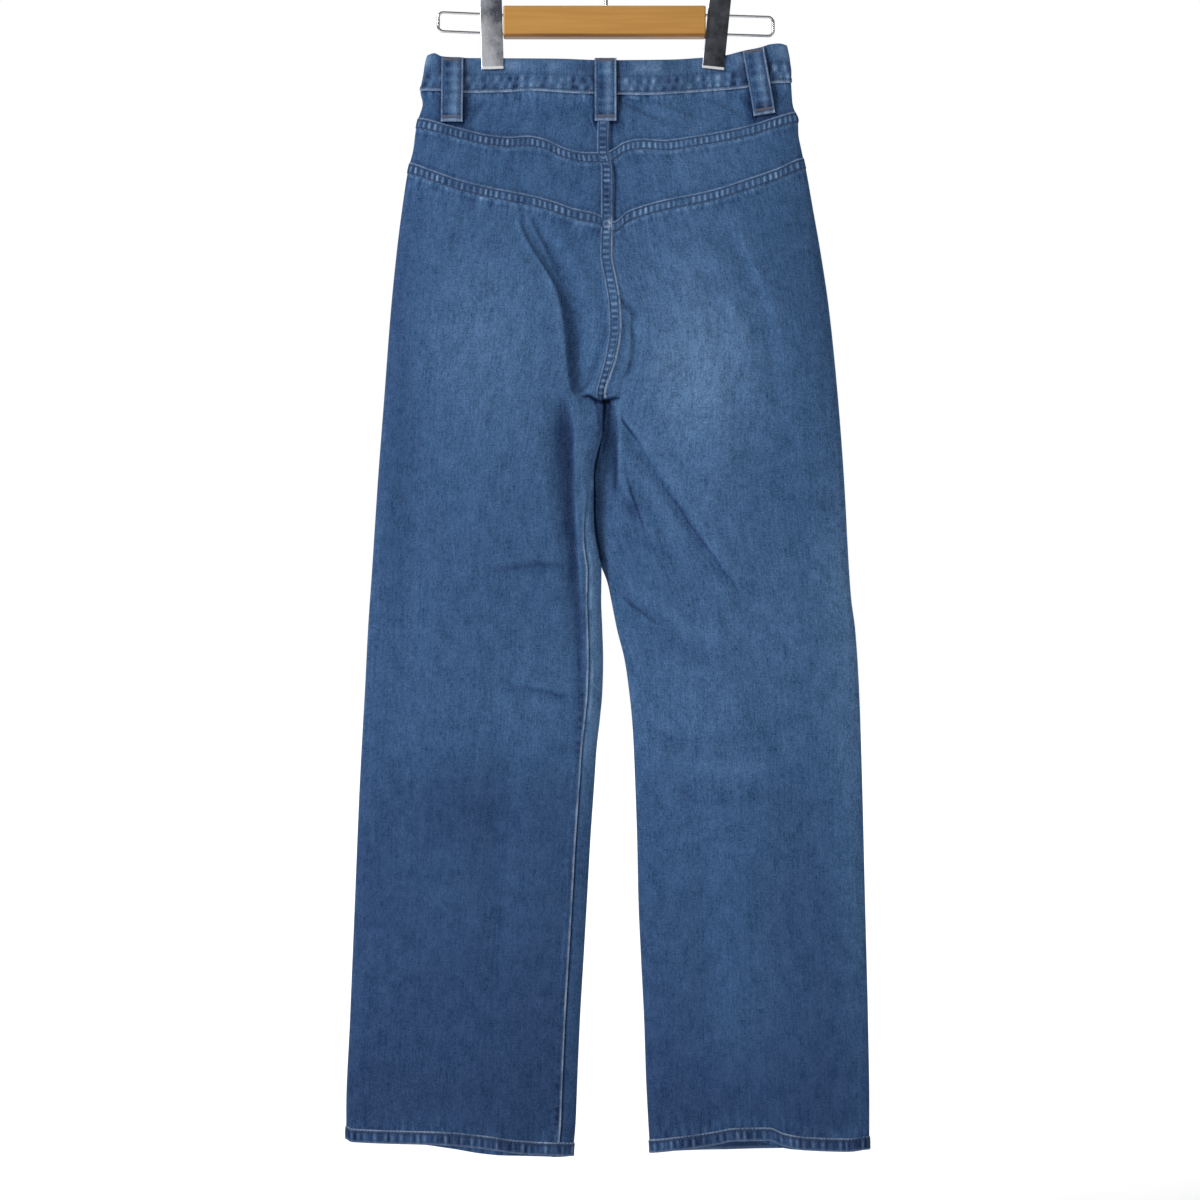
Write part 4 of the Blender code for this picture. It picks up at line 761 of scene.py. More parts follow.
def back_panel(side, material):
    """A back leg from the lower yoke seam to the hem, the left one with its sewn inseam."""
    across = np.linspace(0.0, 1.0, 200)
    top = drop_on_line(LOWER_SEAM, side, across, 130.0)
    foot = drop_on_line(HEM[(side, BACK)], side, across, FOOT_GUESS) - 1.0
    drop = leg_rows(top, foot, 132, 330)
    ring = across * inseam_place(side, drop)
    pucker = near_line(drop, top + 4.0, 11.0) + 0.7 * near_line(-drop, 12.0 - foot, 10.0)
    x = ring_point(side, ring, drop)[..., 0]
    seam = inner_edge(side, drop)
    centre = np.exp(-np.abs(x - seam) / 9.0) * (drop < CROTCH)
    edge = np.abs(x - x[:, -1:])
    sewn = smooth_step(drop, 392.0, 430.0) * (side == LEFT)
    pucker = np.clip(pucker + 0.4 * centre + 0.5 * sewn * np.exp(-edge / 6.0), 0.0, 1.0)
    along = drop + 0.0 * x
    rung = rungs(along, 2.7, 7.6)
    creased = bell(along, 640.0, 40.0) + bell(along, 990.0, 40.0) + 0.25
    wear_and_shade = -sewn * 0.5 * creased * rung * bell(edge, 5.0, 2.4)
    wear_and_shade = wear_and_shade + 0.35 * below_seam(x, drop - top, SEAM_SEED[side])
    lit = smooth_step(drop, 440.0, 480.0) * (0.5 + 0.3 * wobble(along, 3.3))
    pale = sewn * lit * bell(edge, 0.9, 0.8)
    rise = sewn * (0.5 + 0.3 * rung) * (1.0 - smooth_step(edge, 5.0, 8.0))
    return panel(f"back_{side}", side, BACK, ring, drop, pucker, material, wear_and_shade, rise, pale)


def front_panel(side, material):
    """A front leg from the band to the hem. The left one's edge shows on the back, beside the inseam."""
    across = np.concatenate([np.linspace(0.0, 0.12, 18, endpoint=False), np.linspace(0.12, 1.0, 84)])
    rough = np.clip(1.0 + across, 1.0 + 1e-6, 2.0)
    top = drop_on_line(BAND_SEAM, side, rough, 30.0)
    top = top + front_line_dip(side, rough, top) - 3.0
    foot = drop_on_line(HEM[(side, FRONT)], side, rough, FOOT_GUESS) - 1.0
    drop = leg_rows(top, foot, 70, 150)
    start = inseam_place(side, drop)
    ring = np.maximum(start + (2.0 - start) * across, np.where(drop <= CROTCH, 1.0 + 1e-6, 0.0))
    pucker = 0.6 * near_line(drop, top + 4.0, 9.0) + 0.7 * near_line(-drop, 12.0 - foot, 10.0)
    pucker = np.clip(pucker, 0.0, 1.0)
    x = ring_point(side, ring, drop)[..., 0]
    from_seam = np.abs(x - x[:, :1])
    wear_and_shade = (0.5 - 0.34 * smooth_step(drop, 620.0, 760.0)) * smooth_step(1.0 - ring, 0.0, 0.03)
    wear_and_shade = wear_and_shade * smooth_step(drop, 400.0, 470.0)
    near = bell(from_seam, 3.4, 1.8) * (1.0 - smooth_step(drop, 620.0, 720.0))
    seam_line = 1.3 * smooth_step(drop, 430.0, 476.0) * bell(from_seam, 0.5, 0.8)
    wear_and_shade = wear_and_shade + (0.4 * near * (0.6 + wobble(drop * 1.6, 5.1)) - seam_line) * (ring < 1.0)
    return panel(f"front_{side}", side, FRONT, ring, drop, pucker, material, wear_and_shade)


def yoke(name, side, upper_line, lower_line, lift, material):
    """A yoke piece between two seam lines. The upper one starts a lift above its line, under the band."""
    across = np.linspace(0.0, 1.0, 240)
    top = drop_on_line(upper_line, side, across, 60.0) - lift
    bottom = drop_on_line(lower_line, side, across, 100.0)
    drop = rows_between(top, bottom, 64)
    x = ring_point(side, across, drop)[..., 0]
    pucker = near_line(drop, top + lift + 4.0, 7.0)
    pucker = pucker + 0.5 * np.exp(-np.abs(x - inner_edge(side, drop)) / 9.0)
    seed = SEAM_SEED[side]
    if lift:
        # Painted shadow under the band's lower edge, ragged, then pale puckers below it.
        ragged = 1.0 + 0.8 * wobble(x, seed)
        under = np.clip(drop - top - lift - 0.6, 0.0, None)
        wear_and_shade = -0.5 * ragged * np.exp(-under / 1.3)
        wear_and_shade = wear_and_shade + 0.45 * rungs(x, seed + 1.0, 8.6) * bell(under, 2.6, 1.1)
    else:
        wear_and_shade = 0.35 * below_seam(x, drop - top, seed + 1.3)
    # Painted shadow just above the felled seam along the lower line.
    wear_and_shade = wear_and_shade - 0.2 * bell(bottom - drop, 8.2, 1.4)
    return panel(name, side, BACK, across, drop, np.clip(pucker * 0.8, 0, 1), material, wear_and_shade)


def yoke_strip(name, side, line, seed, period, material, threads):
    """The felled seam between two yoke pieces, with rungs between its two rows of stitches."""
    ring = np.linspace(0.0, 1.0, 320)
    offset = np.linspace(SEAM_TOP, SEAM_FOOT, 25)[None, :]
    centre = drop_on_line(line, side, ring, 100.0)
    drop = centre[:, None] + offset
    surface, normal = ring_point(side, ring[:, None], drop), ring_normal(side, ring[:, None], drop)
    along = run_along(surface[:, 12])
    rung = rungs(along, seed, period)[:, None]
    ragged = wobble(along, seed)[:, None]
    body = 1.0 - np.abs(2.0 * (offset - SEAM_TOP) / (SEAM_FOOT - SEAM_TOP) - 1.0) ** 6
    groove = sum(bell(offset, row, 0.6) for row in STITCH_ROWS)
    between = np.clip(1.0 - ((offset + 0.25) / 3.3) ** 6, 0.0, 1.0)
    inset = 0.3 + 0.7 * smooth_step(ring, 0.0, 0.05)[:, None]
    rise = (0.06 + body * 0.95 + (rung - 0.5) * 0.9 * between - 0.3 * groove) * inset
    lighter = 0.12 if side == RIGHT else 0.0
    wear_and_shade = (0.95 * rung * (1.0 + 0.5 * ragged) - 0.32 + lighter) * between - 0.4 * groove
    edge_top = bell(offset - SEAM_TOP, 0.6, 0.6)
    edge_foot = bell(offset - SEAM_FOOT, -0.5, 0.6)
    pale = (0.36 + 0.16 * ragged) * edge_top + 0.3 * rung**2 * between
    pale = pale + 0.2 * rungs(along, seed + 3.0, period)[:, None] * edge_foot
    seen_x, seen = as_seen(surface)
    values = {"fade": wash_amount(BACK, seen_x, seen) - 0.02, "wear_and_shade": wear_and_shade, "pale": pale}
    uv = cloth_uv(side, BACK, ring[:, None], drop)
    faces = grid_faces(*drop.shape, flip=side == LEFT)
    obj = mesh_piece(name, surface + normal * rise[..., None], faces, material, values, uv)
    for row in STITCH_ROWS:
        row_points, row_normal = ring_point(side, ring, centre + row), ring_normal(side, ring, centre + row)
        threads.append((row_points + row_normal * (0.66 * inset), row_normal))
    return obj


def centre_strip(name, first, last, seed, material, threads):
    """The felled centre seam, most of it to the left of its line."""
    drop = np.arange(first, last, 0.7)
    t = np.linspace(0.0, 1.0, 25)[None, :]
    middle = curve_through(INSIDE, drop, 1)
    seat = smooth_step(drop, 150.0, 190.0)
    right = 2.7 + 0.7 * seat
    left = -8.6 + 2.0 * smooth_step(drop, 280.0, CROTCH)
    offset = left[:, None] + (right - left)[:, None] * t
    x = middle[:, None] + offset
    drops = drop[:, None] + 0.0 * x
    surface, normal = cloth_at(BACK, x, drops)
    rung, ragged = rungs(drop, seed, 5.6)[:, None], wobble(drop, seed)[:, None]
    rows = (left + 1.8, right - 2.3)
    body = 1.0 - np.abs(2.0 * t - 1.0) ** 6
    groove = sum(bell(offset, row[:, None], 0.6) for row in rows)
    middle_way = ((rows[0] + rows[1]) / 2)[:, None]
    between = np.clip(1.0 - ((offset - middle_way) / 3.2) ** 6, 0.0, 1.0)
    rise = 0.06 + body * (0.6 + 0.8 * t) + (rung - 0.5) * 0.7 * between - 0.25 * groove
    wear_and_shade = (0.9 * rung - 0.42 + 0.2 * ragged + 0.16 * seat[:, None]) * between - 0.3 * groove
    edge = bell(offset - right[:, None], -0.8, 0.8)
    far_edge = bell(offset - left[:, None], 0.5, 0.6)
    lump = bell(drops, 160.0, 4.0) * bell(offset, 0.4, 2.6)
    thin = (1.0 - 0.45 * smooth_step(drop, 296.0, 324.0))[:, None]
    pale = 0.6 * lump + (0.25 + 0.5 * seat[:, None] + 0.14 * ragged) * thin * edge + 0.2 * far_edge
    pale = pale + 0.28 * rung**2 * between
    values = {"fade": wash_amount(BACK, x, drops), "wear_and_shade": wear_and_shade, "pale": pale}
    uv = np.stack([700.0 + x, drops], axis=-1)
    obj = mesh_piece(name, surface + normal * rise[..., None], grid_faces(*x.shape), material, values, uv)
    for row in rows:
        row_points, row_normal = cloth_at(BACK, middle + row, drop)
        threads.append((row_points + row_normal * 0.75, row_normal))
    return obj


def hem_ring(name, side, seed, material, threads):
    """A doubled hem round a leg: up its inside, round its foot and up its outside to the stitches."""
    count = 360
    ring = np.linspace(0.0, 2.0, count, endpoint=False)
    front, back = (drop_on_line(HEM[(side, face)], side, ring, FOOT_GUESS) for face in (FRONT, BACK))
    ends = smooth_step(np.abs(ring - 1.0), 0.0, 0.06) * smooth_step(np.minimum(ring, 2.0 - ring), 0.0, 0.06)
    foot = np.where(ring > 1, front, back) * ends + (front + back) / 2 * (1.0 - ends)
    # millimetres up from the foot, millimetres out
    section = (
        (13.5, -1.3), (9.0, -1.6), (4.0, -1.7), (0.9, -1.5), (0.1, -0.6), (0.2, 0.5), (1.0, 1.05),
        (2.6, 1.15), (4.4, 1.0), (6.2, 1.05), (8.0, 1.05), (9.6, 0.85), (10.6, 0.6), (11.6, 0.85),
        (12.7, 0.75), (13.3, 0.05),
    )
    up, out = (np.array(column)[None, :] for column in zip(*section))
    drop = foot[:, None] - up
    surface, normal = ring_point(side, ring[:, None], drop), ring_normal(side, ring[:, None], drop)
    along = run_along(surface[:, 8])
    rung = (0.6 * rungs(along, seed, 8.2) + 0.5 * rungs(along, seed + 1.9, 5.3))[:, None]
    outside = (out > 0.4) * bell(up, 6.0, 4.2)
    out = out + (rung - 0.5) * 0.55 * outside
    ragged = wobble(along, seed)[:, None]
    wear_and_shade = (rung - 0.42) * 1.1 * outside + 0.3 * ragged * outside - 0.4 * bell(up, HEM_ROW, 0.8)
    dashed = 0.5 + 0.5 * np.sin(2 * math.pi * along / 3.2 + 2.0 * wobble(along, 9.1))[:, None]
    thread_line = (0.2 + 0.25 * ragged + 0.35 * dashed) * bell(up, 12.6, 0.7) * (out > 0)
    pale = 0.2 * bell(up, 0.7, 0.8) + thread_line + 0.36 * rung**3 * outside
    values = {"fade": 0.2, "wear_and_shade": wear_and_shade, "pale": pale}
    uv = np.stack([along[:, None] + 0.0 * drop, drop + 37.0], axis=-1)
    points = surface + normal * out[..., None]
    first = np.arange(len(section))
    last = (count - 1) * len(section) + first
    close = np.stack([last[:-1], first[:-1], first[1:], last[1:]], -1)
    quads = np.concatenate([grid_faces(count, len(section)), close])
    obj = mesh_piece(name, points, quads[:, ::-1] if side == LEFT else quads, material, values, uv)
    row_drop = foot - HEM_ROW
    row_normal = ring_normal(side, ring, row_drop)
    threads.append((ring_point(side, ring, row_drop) + row_normal * 0.85, row_normal))
    return obj


def waistband(material, threads):
    """One doubled band round the waist: up its outside, over its top edge and down its inside."""
    lap, under, ramp, lap_rings = 0.055, 0.07, (0.075, 0.17), 8
    fine = np.linspace(0.0, 1.0, 150)
    path = [(RIGHT, 1.0 + r) for r in np.linspace(lap, 0.0, lap_rings, endpoint=False)]
    path += [(LEFT, 1.0 + r) for r in np.concatenate([[1e-6], fine[1:]])]
    path += [(LEFT, r) for r in fine[1:]] + [(RIGHT, r) for r in fine[-2::-1]]
    path += [(RIGHT, 2.0 - r) for r in fine[1:-1]] + [(RIGHT, 1.0 + 1e-6)]
    path += [(LEFT, 1.0 + r) for r in np.linspace(0.0, under, 8)[1:]]
    lapped = lap_rings + len(fine)
    # share of the way down the band, millimetres out
    profile = (
        (1.0, -BAND_IN), (1.0, BAND_OUT * 0.3), (0.99, BAND_OUT * 0.95), (0.965, BAND_OUT + 0.2),
        (0.93, BAND_OUT + 0.25), (0.88, BAND_OUT + 0.15), (0.84, BAND_OUT + 0.3), (0.78, BAND_OUT + 0.35),
        (0.72, BAND_OUT + 0.4), (0.66, BAND_OUT + 0.5), (0.6, BAND_OUT + 0.5), (0.54, BAND_OUT + 0.4),
        (0.48, BAND_OUT + 0.25), (0.4, BAND_OUT + 0.35), (0.28, BAND_OUT + 0.3), (0.16, BAND_OUT + 0.2),
        (0.07, BAND_OUT + 0.1), (0.02, BAND_OUT - 0.3), (0.0, -0.2), (0.02, -BAND_IN + 0.4),
        (0.1, -BAND_IN), (0.5, -BAND_IN),
    )
    share, out = (np.array(column) for column in zip(*profile))
    points, normal, drop = (np.empty((len(path), len(profile)) + end) for end in ((3,), (3,), ()))
    for side in (LEFT, RIGHT):
        order = np.array([i for i, (s, _r) in enumerate(path) if s == side])
        ring = np.array([path[i][1] for i in order])
        top = drop_on_line(WAIST_TOP, side, ring, 0.0)
        bottom = drop_on_line(BAND_SEAM, side, ring, 30.0)
        on_front = ring > 1
        top = top + np.where(on_front, front_line_dip(side, ring, top), 0.0)
        bottom = bottom + np.where(on_front, front_line_dip(side, ring, bottom), 0.0) + 0.6
        drops = top[:, None] + (bottom - top)[:, None] * share
        rise = np.where(order < lapped, LAP_RISE * (1.0 - smooth_step(ring - 1.0, *ramp)), 0.0)
        rise = np.where((order < lap_rings) & (side == RIGHT), LAP_RISE, rise)
        drop[order], normal[order] = drops, ring_normal(side, ring[:, None], drops)
        off = (out + rise[:, None])[..., None]
        points[order] = ring_point(side, ring[:, None], drops) + normal[order] * off
    along = run_along(points[:, 6])
    outside = out > 0
    high, low, upper = (bell(share, at, reach) for at, reach in ((0.62, 0.09), (0.84, 0.08), (0.22, 0.16)))
    blobs = (rungs(along, 0.4, 9.0)[:, None] - 0.5) * high
    blobs = blobs + (rungs(along + 3.0, 2.9, 9.6)[:, None] - 0.5) * low
    blobs = blobs + 0.5 * wobble(along * 1.9, 0.4)[:, None] * (high + low)
    blobs = blobs + 0.45 * wobble(along * 1.3, 4.4)[:, None] * upper
    points = points + normal * (blobs * outside * 0.7)[..., None]
    wear_and_shade = 1.2 * blobs + 0.12 * high + 0.10 * low - 0.26 * bell(share, 0.48, 0.05) - 0.02
    ragged = 1.0 + 0.5 * wobble(along * 2.0, 7.7)[:, None]
    pale = 0.025 + 0.22 * np.clip(blobs, 0.0, 1.0) + 0.5 * ragged * bell(share, 0.985, 0.025)
    x, seen = as_seen(points)
    # Painted shadows of the belt loops on the band's outside.
    wear_and_shade = (wear_and_shade + loop_shade(BACK, x, seen) * (points[..., 1] < 0)) * outside
    values = {"fade": curve_through(WASH_DOWN, seen) + 0.06, "wear_and_shade": wear_and_shade, "pale": pale * outside}
    uv = np.stack([along[:, None] + 0.0 * drop, drop + 300.0], axis=-1)
    count, wide = points.shape[:2]
    ring = list(range(wide))
    caps = [ring, [(count - 1) * wide + i for i in reversed(ring)]]
    faces = grid_faces(count, wide, wrap=True)
    obj = mesh_piece("waistband_cloth", points, faces, material, values, uv, caps=caps)
    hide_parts("waistband")
    threads.append((points[:, 4] * 0.4 + points[:, 5] * 0.6 + normal[:, 4] * 0.08, normal[:, 4]))
    return obj


def loop_lift(line):
    """How far a belt loop stands off the cloth: its seat on the band or yoke, and 2.1 sin(pi line)^0.8."""
    seated = smooth_step(line, 0.72, 1.0)
    return (BAND_OUT + 0.6) * (1.0 - seated) + 0.15 * seated + 2.1 * np.sin(math.pi * line) ** 0.8


def belt_loop(name, face, top, foot, seed, material, threads, tacks):
    """A strip sewn at both ends: a rounded box section swept down it and bowed off the band."""
    (top_x, top_drop), (foot_x, foot_drop) = top, foot
    length = math.hypot(foot_x - top_x, foot_drop - top_drop)
    side_x, side_drop = (foot_drop - top_drop) / length, -(foot_x - top_x) / length
    along = np.linspace(0.0, 1.0, 56)[:, None]
    # half of its top side: millimetres from the middle, thickness
    half = (
        (2.0, 1.6), (4.2, 1.72), (6.4, 1.6), (7.6, 1.35), (8.6, 1.5), (9.3, 1.66), (9.9, 1.6), (10.35, 1.3),
        (LOOP_HALF, 0.7),
    )
    under = ((10.2, 0.1), (0.0, 0.0), (-10.2, 0.1))
    section = [(-x, y) for x, y in reversed(half)] + [(0.0, 1.45), *half, *under]
    across, thick = (np.array(column)[None, :] for column in zip(*section))

    def place(line, aside):
        """x, surface and normal at a share of the loop's length and a distance beside its middle."""
        x = top_x + (foot_x - top_x) * line + side_x * aside
        return (x, *cloth_at(face, x, top_drop + (foot_drop - top_drop) * line + side_drop * aside))

    x, surface, normal = place(along, across)
    drop = top_drop + (foot_drop - top_drop) * along + side_drop * across
    normal = unit(normal.mean(axis=1, keepdims=True) + 0.0 * normal)
    mottle = wobble(along * 60.0, seed) * np.cos(across / 4.2)
    mottle = mottle + 0.6 * wobble(along * 33.0 + across, seed + 2.0)
    ends = bell((along - 0.965) * length, 0.0, 1.5) + bell((along - 0.035) * length, 0.0, 1.5)
    lift = loop_lift(along) + thick * (1.0 - 0.3 * ends) + 0.22 * mottle * (thick > 1.0)
    end = (1.0 - along) * length
    check = rungs(along * length, seed + 0.7, 9.5) - 0.45
    flat_part = np.abs(across) < 7.0
    wear_and_shade = 0.12 + 0.26 * bell(across, 2.2, 3.2) + 0.5 * check * flat_part - 0.3 * bell(across, -5.2, 2.6)
    wear_and_shade = wear_and_shade + 0.4 * mottle * flat_part - 0.25 * bell(across, 7.1, 0.9) - 0.45 * bell(end, 6.6, 0.9)
    uneven = 0.8 + 0.4 * wobble(along * length * 1.7, seed + 4.0)
    pale = (0.22 * bell(across, -9.7, 0.8) + 0.6 * bell(across, 9.5, 0.75)) * uneven
    pale = (pale + 0.34 * bell(end, 1.2, 1.2) + 0.1 * bell(across, 2.6, 3.0)) * (thick > 0.6)
    points = surface + normal * lift[..., None]
    values = {"fade": wash_amount(face, x, drop) - 0.03, "wear_and_shade": wear_and_shade, "pale": pale}
    uv = np.stack([2000.0 + 40.0 * seed + across + 0.0 * drop, along * length + 0.0 * drop], axis=-1)
    rows, wide = x.shape
    quads = grid_faces(rows, wide, wrap=True)
    quads = quads[:, ::-1] if face == FRONT else quads
    ring = list(range(wide))
    caps = [ring, [(rows - 1) * wide + i for i in reversed(ring)]]
    obj = mesh_piece(f"{name}_cloth", points, quads, material, values, uv, caps=caps)
    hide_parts(name)
    for aside in (-8.1, 7.4):
        line = np.linspace(0.03, 0.92, 80)
        _x, row_points, row_normal = place(line, aside)
        threads.append((row_points + row_normal * (loop_lift(line) + 1.45)[:, None], row_normal))
    for line in (0.035, 0.925):
        _x, row_points, row_normal = place(line, np.linspace(-8.6, 8.6, 40))
        row_normal = unit(row_normal.mean(axis=0, keepdims=True) + 0.0 * row_normal)
        tacks.append((row_points + row_normal * (loop_lift(line) + 1.5), row_normal))
    return obj


def fly_width(line):
    """The flap's width down its length: FLY_WIDE, and a quarter ellipse in to the centre at its foot."""
    return FLY_WIDE * np.sqrt(np.clip(1.0 - np.clip((line - 0.62) / 0.4, 0.0, 1.0) ** 2, 0.02, 1.0))


def fly_flap(material, threads):
    """The doubled front edge over the fly, with a double row of stitches in a J."""
    share = np.linspace(0.0, 1.0, 60)[:, None]
    across = np.linspace(0.0, 1.0, 40)[None, :]
    whole = FLY_WIDE + FLY_HEM
    top_x = FLY_HEM - whole * across
    outer, inner = outer_edge(LEFT, 35.0), inner_edge(LEFT, 35.0)
    dip = FRONT_DIP * np.clip((top_x - outer) / (inner - outer), 0.0, 1.0) ** 1.5
    top = curve_through(BAND_SEAM, top_x) + dip
    drop = top + (FLY_FOOT - top) * share
    x = curve_through(INSIDE, drop, 1) + FLY_HEM - (fly_width(share) + FLY_HEM) * across
    surface, normal = cloth_at(FRONT, x, drop)
    edge = np.minimum(across, 1.0 - across) * whole
    points = surface + normal * (0.1 + 1.3 * (1.0 - np.exp(-edge / 0.7)))[..., None]
    values = {"fade": wash_amount(FRONT, x, drop) + 0.05, "wear_and_shade": 0.5 * bell(across * whole, 0.8, 0.8)}
    uv = np.stack([1200.0 + x, drop], axis=-1)
    obj = mesh_piece("fly_flap_cloth", points, grid_faces(*x.shape)[:, ::-1], material, values, uv)
    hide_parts("fly_flap")
    for inset in (3.0, 8.5):
        line = np.linspace(0.0, 0.985, 120)
        row_drop = 36.0 + (FLY_FOOT - 2.0 - inset * 0.6 - 36.0) * line
        row_x = curve_through(INSIDE, row_drop, 1) - np.maximum(fly_width(line) - inset, 0.4)
        row_points, row_normal = cloth_at(FRONT, row_x, row_drop)
        threads.append((row_points + row_normal * 1.45, row_normal))
    return obj


def stitch_mesh(name, rows, material, length=2.3, gap=0.9, width=0.46, height=0.40):
    """Stitches along rows of points: a small bean, stretched along the row, at each step."""
    ring = np.array([(math.cos(a), math.sin(a)) for a in np.linspace(0, 2 * math.pi, 6, endpoint=False)])
    stations = ((-0.5, 0.35), (-0.36, 0.85), (0.0, 1.0), (0.36, 0.85), (0.5, 0.35))
    template = np.array([(s, r * c, r * d) for s, r in stations for c, d in ring])
    quads = grid_faces(len(stations), 6, wrap=True)
    all_points, all_faces, start = [], [], 0
    for points, normals in rows:
        along = run_along(points)
        at = np.arange(gap / 2 + length / 2, along[-1] - length / 2, length + gap)
        centre, ahead, behind, normal = (
            np.stack([np.interp(at + shift, along, row[:, k]) for k in range(3)], axis=-1)
            for row, shift in ((points, 0.0), (points, 0.6), (points, -0.6), (normals, 0.0))
        )
        normal, tangent = unit(normal), unit(ahead - behind)
        made = centre[:, None]
        ways = ((tangent, length), (unit(np.cross(normal, tangent)), width), (normal, height))
        for axis, (way, size) in enumerate(ways):
            made = made + way[:, None] * (template[None, :, axis : axis + 1] * size)
        all_points.append(made.reshape(-1, 3))
        offsets = start + np.arange(len(at))[:, None, None] * len(template)
        all_faces.append((quads[None] + offsets).reshape(-1, 4))
        start += len(at) * len(template)
    obj = mesh_piece(name, np.concatenate(all_points), np.concatenate(all_faces), material)
    return obj


# Materials


def new_material(name):
    """A material, its nodes and its shader."""
    material = bpy.data.materials.new(name)
    material.use_nodes = True
    tree = material.node_tree
    return material, tree, tree.nodes["Principled BSDF"]


def node(tree, kind, **settings):
    """A new node with its settings."""
    made = tree.nodes.new(kind)
    for key, value in settings.items():
        setattr(made, key, value)
    return made


def set_inputs(made, values):
    """Sets a node's inputs by name."""
    for key, value in values.items():
        made.inputs[key].default_value = value


def math_node(tree, operation, first, second=None, third=None):
    """The output of a sum over numbers or other nodes' outputs."""
    made = node(tree, "ShaderNodeMath", operation=operation)
    for socket, value in zip(made.inputs, (first, second, third)):
        if value is None:
            continue
        if isinstance(value, (int, float)):
            socket.default_value = value
        else:
            tree.links.new(value, socket)
    return made.outputs[0]


def noise(tree, vector, scale, detail=2.0, roughness=0.5, stretch=(1.0, 1.0, 1.0)):
    """Noise of a vector that is first stretched, as its Fac output."""
    mapping, made = node(tree, "ShaderNodeMapping"), node(tree, "ShaderNodeTexNoise")
    set_inputs(mapping, {"Scale": stretch})
    tree.links.new(vector, mapping.inputs["Vector"])
    set_inputs(made, {"Scale": scale, "Detail": detail, "Roughness": roughness})
    tree.links.new(mapping.outputs[0], made.inputs["Vector"])
    return made.outputs["Fac"]


def add_part(tree, level, source, middle, amount):
    """level + amount (source - middle)."""
    return math_node(tree, "MULTIPLY_ADD", math_node(tree, "SUBTRACT", source, middle), amount, level)


def attribute(tree, name):
    """A mesh attribute as a number."""
    return node(tree, "ShaderNodeAttribute", attribute_name=name).outputs["Fac"]


def srgb(red, green, blue):
    """A colour given as 0 to 255 steps of the screen, as linear light with full alpha."""
    linear = [((c / 255 + 0.055) / 1.055) ** 2.4 if c > 10 else c / 255 / 12.92 for c in (red, green, blue)]
    return (*linear, 1.0)


def colour_ramp(tree, level, stops):
    """The colour for a level, straight from one stop to the next: place, colour in 0 to 255 steps."""
    ramp = node(tree, "ShaderNodeValToRGB")
    elements = ramp.color_ramp.elements
    while len(elements) < len(stops):
        elements.new(0.5)
    for element, (place, colour) in zip(elements, stops):
        element.position, element.color = place, srgb(*colour)
    tree.links.new(level, ramp.inputs["Fac"])
    return ramp.outputs["Color"]


